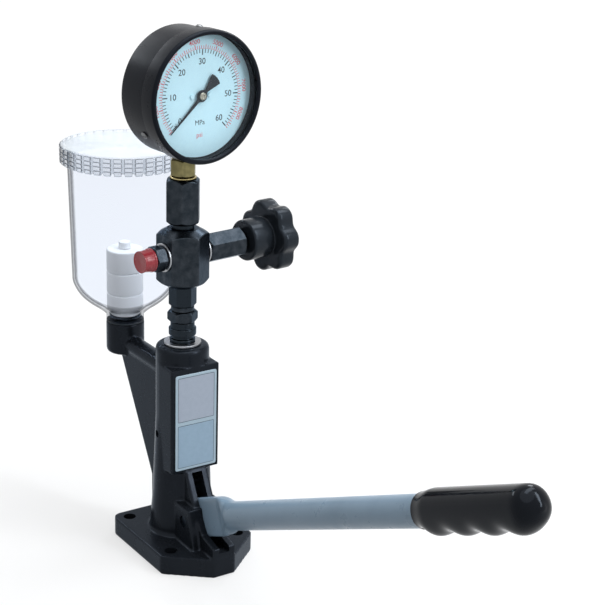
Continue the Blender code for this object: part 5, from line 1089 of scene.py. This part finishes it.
def build_lid():
    """Shallow lid; its skirt carries four rows of raised pads between narrow grooves."""
    steps_round = ((0.0, 0.0), (0.12, 0.1), (0.175, 1.0), (0.4, 1.0), (0.6, 1.0), (0.825, 1.0), (0.88, 0.1))
    steps_up = ((0.0, 0.0), (0.07, 0.12), (0.15, 1.0), (0.5, 1.0), (0.85, 1.0), (0.93, 0.12))
    pads_round, rows = 38, 4
    turns = [(i + share, lift) for i in range(pads_round) for share, lift in steps_round]
    levels = [(j + share, lift) for j in range(rows) for share, lift in steps_up] + [(float(rows), 0.0)]

    def circle(radius, level):
        """Between the pads the skirt's lower edge is notched."""
        ring = []
        for turn, lift in turns:
            notch = 2.4 * (1.0 - lift) * max(0.0, 1.0 - (level - LID_EDGE) / 3.9)
            ring.append(around(radius, TAU * turn / pads_round, level + notch))
        return ring

    def circles(*profile):
        return [circle(radius, level) for radius, level in profile]

    rings = [ring_of(0.0, 327.4)]
    rings += circles((48.4, 327.4), (49.0, 326.8), (49.0, 314.0), (49.3, LID_EDGE), (52.9, LID_EDGE))
    for step, rise in levels:
        level = SKIRT_LOW + (LID_TOP_Z - SKIRT_LOW) * step / rows
        ring = []
        for point, (turn, lift) in zip(circle(1.0, level), turns):
            radius = 53.2 + 1.25 * min(lift, rise)
            ring.append(Vector((point.x * radius, point.y * radius, point.z)))
        rings.append(ring)
    rings += circles((53.0, 329.4), (52.4, 329.6), (51.6, 329.6), (50.8, 329.1))
    rings += circles((48.0, LID_TOP_Z), (20.0, LID_TOP_Z))
    rings.append(ring_of(0.0, LID_TOP_Z))
    lid = publish("knurled_lid", skin(rings), CUP, "clear", ("cup_lid",), "lid", LID_TOP, 50.0)
    # Skirt faces take the band's finishes by reach: pads pale, slopes dark and grooves grey, the dark ones
    # being painted shade along the knurl.
    for finish in (LID_PAD, LID_SLOPE, LID_GROOVE):
        lid.data.materials.append(finish)
    pad, slope, groove = 1, 2, 3
    centre_x = CUP.translation.x * MM
    for face in lid.data.polygons:
        reach = math.hypot(face.center.x - centre_x, face.center.y) / MM
        if reach > 52.95 and face.center.z < (LID_TOP_Z + 0.01) * MM:
            face.material_index = pad if reach > 54.1 else slope if reach > 53.45 else groove


def build_filter():
    """White sintered filter in three rings on a narrower foot, with a small plug on top."""
    foot, top, ring_height = 177.4, 236.4, 59.0 / 3.0
    line = [(11.8, foot), (13.0, foot, 0.4), (13.0, 182.6, 0.2), (15.8, 182.6, 0.8)]
    for i in (1, 2):
        level = foot + ring_height * i
        line += [(15.8, level - 0.8, 0.5), (14.8, level - 0.5, 0.3)]
        line += [(14.8, level + 0.5, 0.3), (15.8, level + 0.8, 0.5)]
    line += [(15.8, top, 1.4), (4.08, top, 0.2), (4.08, 232.4, 0.1), (11.8, 232.4, 0.2)]
    publish("filter_stack", lathe(line, True, radius=0.3), CUP, "white", ("filter_body",), angle=35.0)
    cap = [(0.0, 232.4), (4.0, 232.4), (4.0, 236.7), (5.2, 236.7, 0.3), (5.2, 242.7, 0.8), (0.0, 242.7)]
    publish("filter_plug", lathe(cap, count=48), CUP, "white", ("filter_cap",))


# Stage


def seen(tree):
    """1 for rays from the camera, mirrors and glass, 0 for the light on the object."""
    path = new_node(tree, "LightPath")
    total = path.outputs["Is Camera Ray"]
    for name in ("Is Glossy Ray", "Is Transmission Ray"):
        node = new_node(tree, "Math")
        node.operation = "MAXIMUM"
        tree.links.new(total, node.inputs[0])
        tree.links.new(path.outputs[name], node.inputs[1])
        total = node.outputs[0]
    return total


def placed(light, place, target, along=(0.0, 0.0, 1.0)):
    """Stands a lamp at a place, facing its target, its height running along a direction."""
    away = (Vector(place) - Vector(target)).normalized()
    up = (Vector(along) - away * away.dot(Vector(along))).normalized()
    made = shown(light.name, light)
    made.matrix_world = columns(up.cross(away), up, away, place)
    made.visible_camera = False


def panel(name, place, target, width, height, radiance, along=(0.0, 0.0, 1.0)):
    """A soft box whose power follows from how bright its face is."""
    light = bpy.data.lights.new(name, "AREA")
    light.shape, light.size, light.size_y = "RECTANGLE", width, height
    light.energy, light.color = math.pi * width * height * radiance, (0.93, 0.965, 1.0)
    placed(light, place, target, along)


def build_stage():
    """Camera fitted to the photo, bright surroundings, a glowing paper floor and the lamps, in metres."""
    scene = bpy.context.scene
    scene.view_settings.view_transform = "Standard"
    lens = bpy.data.cameras.new("photo_camera")
    lens.lens, lens.sensor_width = 96.43, 36.0
    lens.clip_start, lens.clip_end = 0.05, 60.0
    camera = shown("photo_camera", lens)
    camera.matrix_world = Matrix((
        (0.55172855, -0.28798562, 0.78272593, 1.09293),
        (0.83353463, 0.15826182, -0.52931391, -0.62065),
        (0.02855916, 0.94446677, 0.32736356, 0.65484),
        (0.0, 0.0, 0.0, 1.0),
    ))
    scene.camera = camera

    world = bpy.data.worlds.new("studio")
    world.use_nodes = True
    tree = world.node_tree
    back = tree.nodes["Background"]
    back.inputs["Color"].default_value = (1.0, 1.0, 1.0, 1.0)
    level = new_node(tree, "MapRange", To_Min=0.38, To_Max=1.0)
    tree.links.new(seen(tree), level.inputs["Value"])
    tree.links.new(level.outputs[0], back.inputs["Strength"])
    scene.world = world

    bm = bmesh.new()
    bmesh.ops.create_circle(bm, cap_ends=True, radius=9.0, segments=64)
    floor = shown("floor", as_mesh("floor", bm))
    paper = bpy.data.materials.new("floor_paper")
    paper.use_nodes = True
    tree = paper.node_tree
    shader = tree.nodes["Principled BSDF"]
    for key, value in (
        ("Base Color", (0.36, 0.36, 0.36, 1.0)), ("Roughness", 0.9), ("Specular IOR Level", 0.0),
        ("Emission Color", (1.0, 1.0, 1.0, 1.0)),
    ):
        shader.inputs[key].default_value = value
    reach = new_node(tree, "VectorMath")
    reach.operation = "LENGTH"
    tree.links.new(new_node(tree, "TexCoord").outputs["Object"], reach.inputs[0])
    spread = new_node(tree, "MapRange", From_Min=0.3, From_Max=2.6, To_Min=0.53, To_Max=0.74)
    spread.interpolation_type = "SMOOTHSTEP"
    tree.links.new(reach.outputs["Value"], spread.inputs["Value"])
    glow = new_node(tree, "Math")
    glow.operation = "MULTIPLY"
    tree.links.new(seen(tree), glow.inputs[0])
    tree.links.new(spread.outputs[0], glow.inputs[1])
    tree.links.new(glow.outputs[0], shader.inputs["Emission Strength"])
    floor.data.materials.append(paper)

    sky = bpy.data.lights.new("even_sky", "SUN")
    sky.energy, sky.angle = 1.4, 70.0 * DEG
    placed(sky, (0.4, -0.3, 3.0), (0.0, 0.0, 0.0))
    panel("overhead", (0.16, 0.47, 1.55), (0.05, 0.15, 0.26), 0.44, 1.3, 5.5, (-0.28, 0.96, 0.0))
    panel("right", (1.08, 0.78, 1.06), (0.0, 0.0, 0.15), 0.26, 1.2, 14.5, (-0.54, 0.18, 0.82))
    panel("left_window", (-1.14, -0.28, 0.98), (0.0, 0.0, 0.28), 0.9, 0.18, 6.0)
    panel("back", (-0.5, 1.0, 1.06), (0.0, 0.0, 0.26), 0.35, 0.3, 9.0)


for build in (
    build_stage, build_casting, build_label, build_lever, build_grip, build_pin, build_stack, build_manifold,
    build_adaptor, build_cross_fittings, build_knob, build_gauge_shell, build_dial, build_pointer, build_cup,
    build_lid, build_filter,
):
    build()
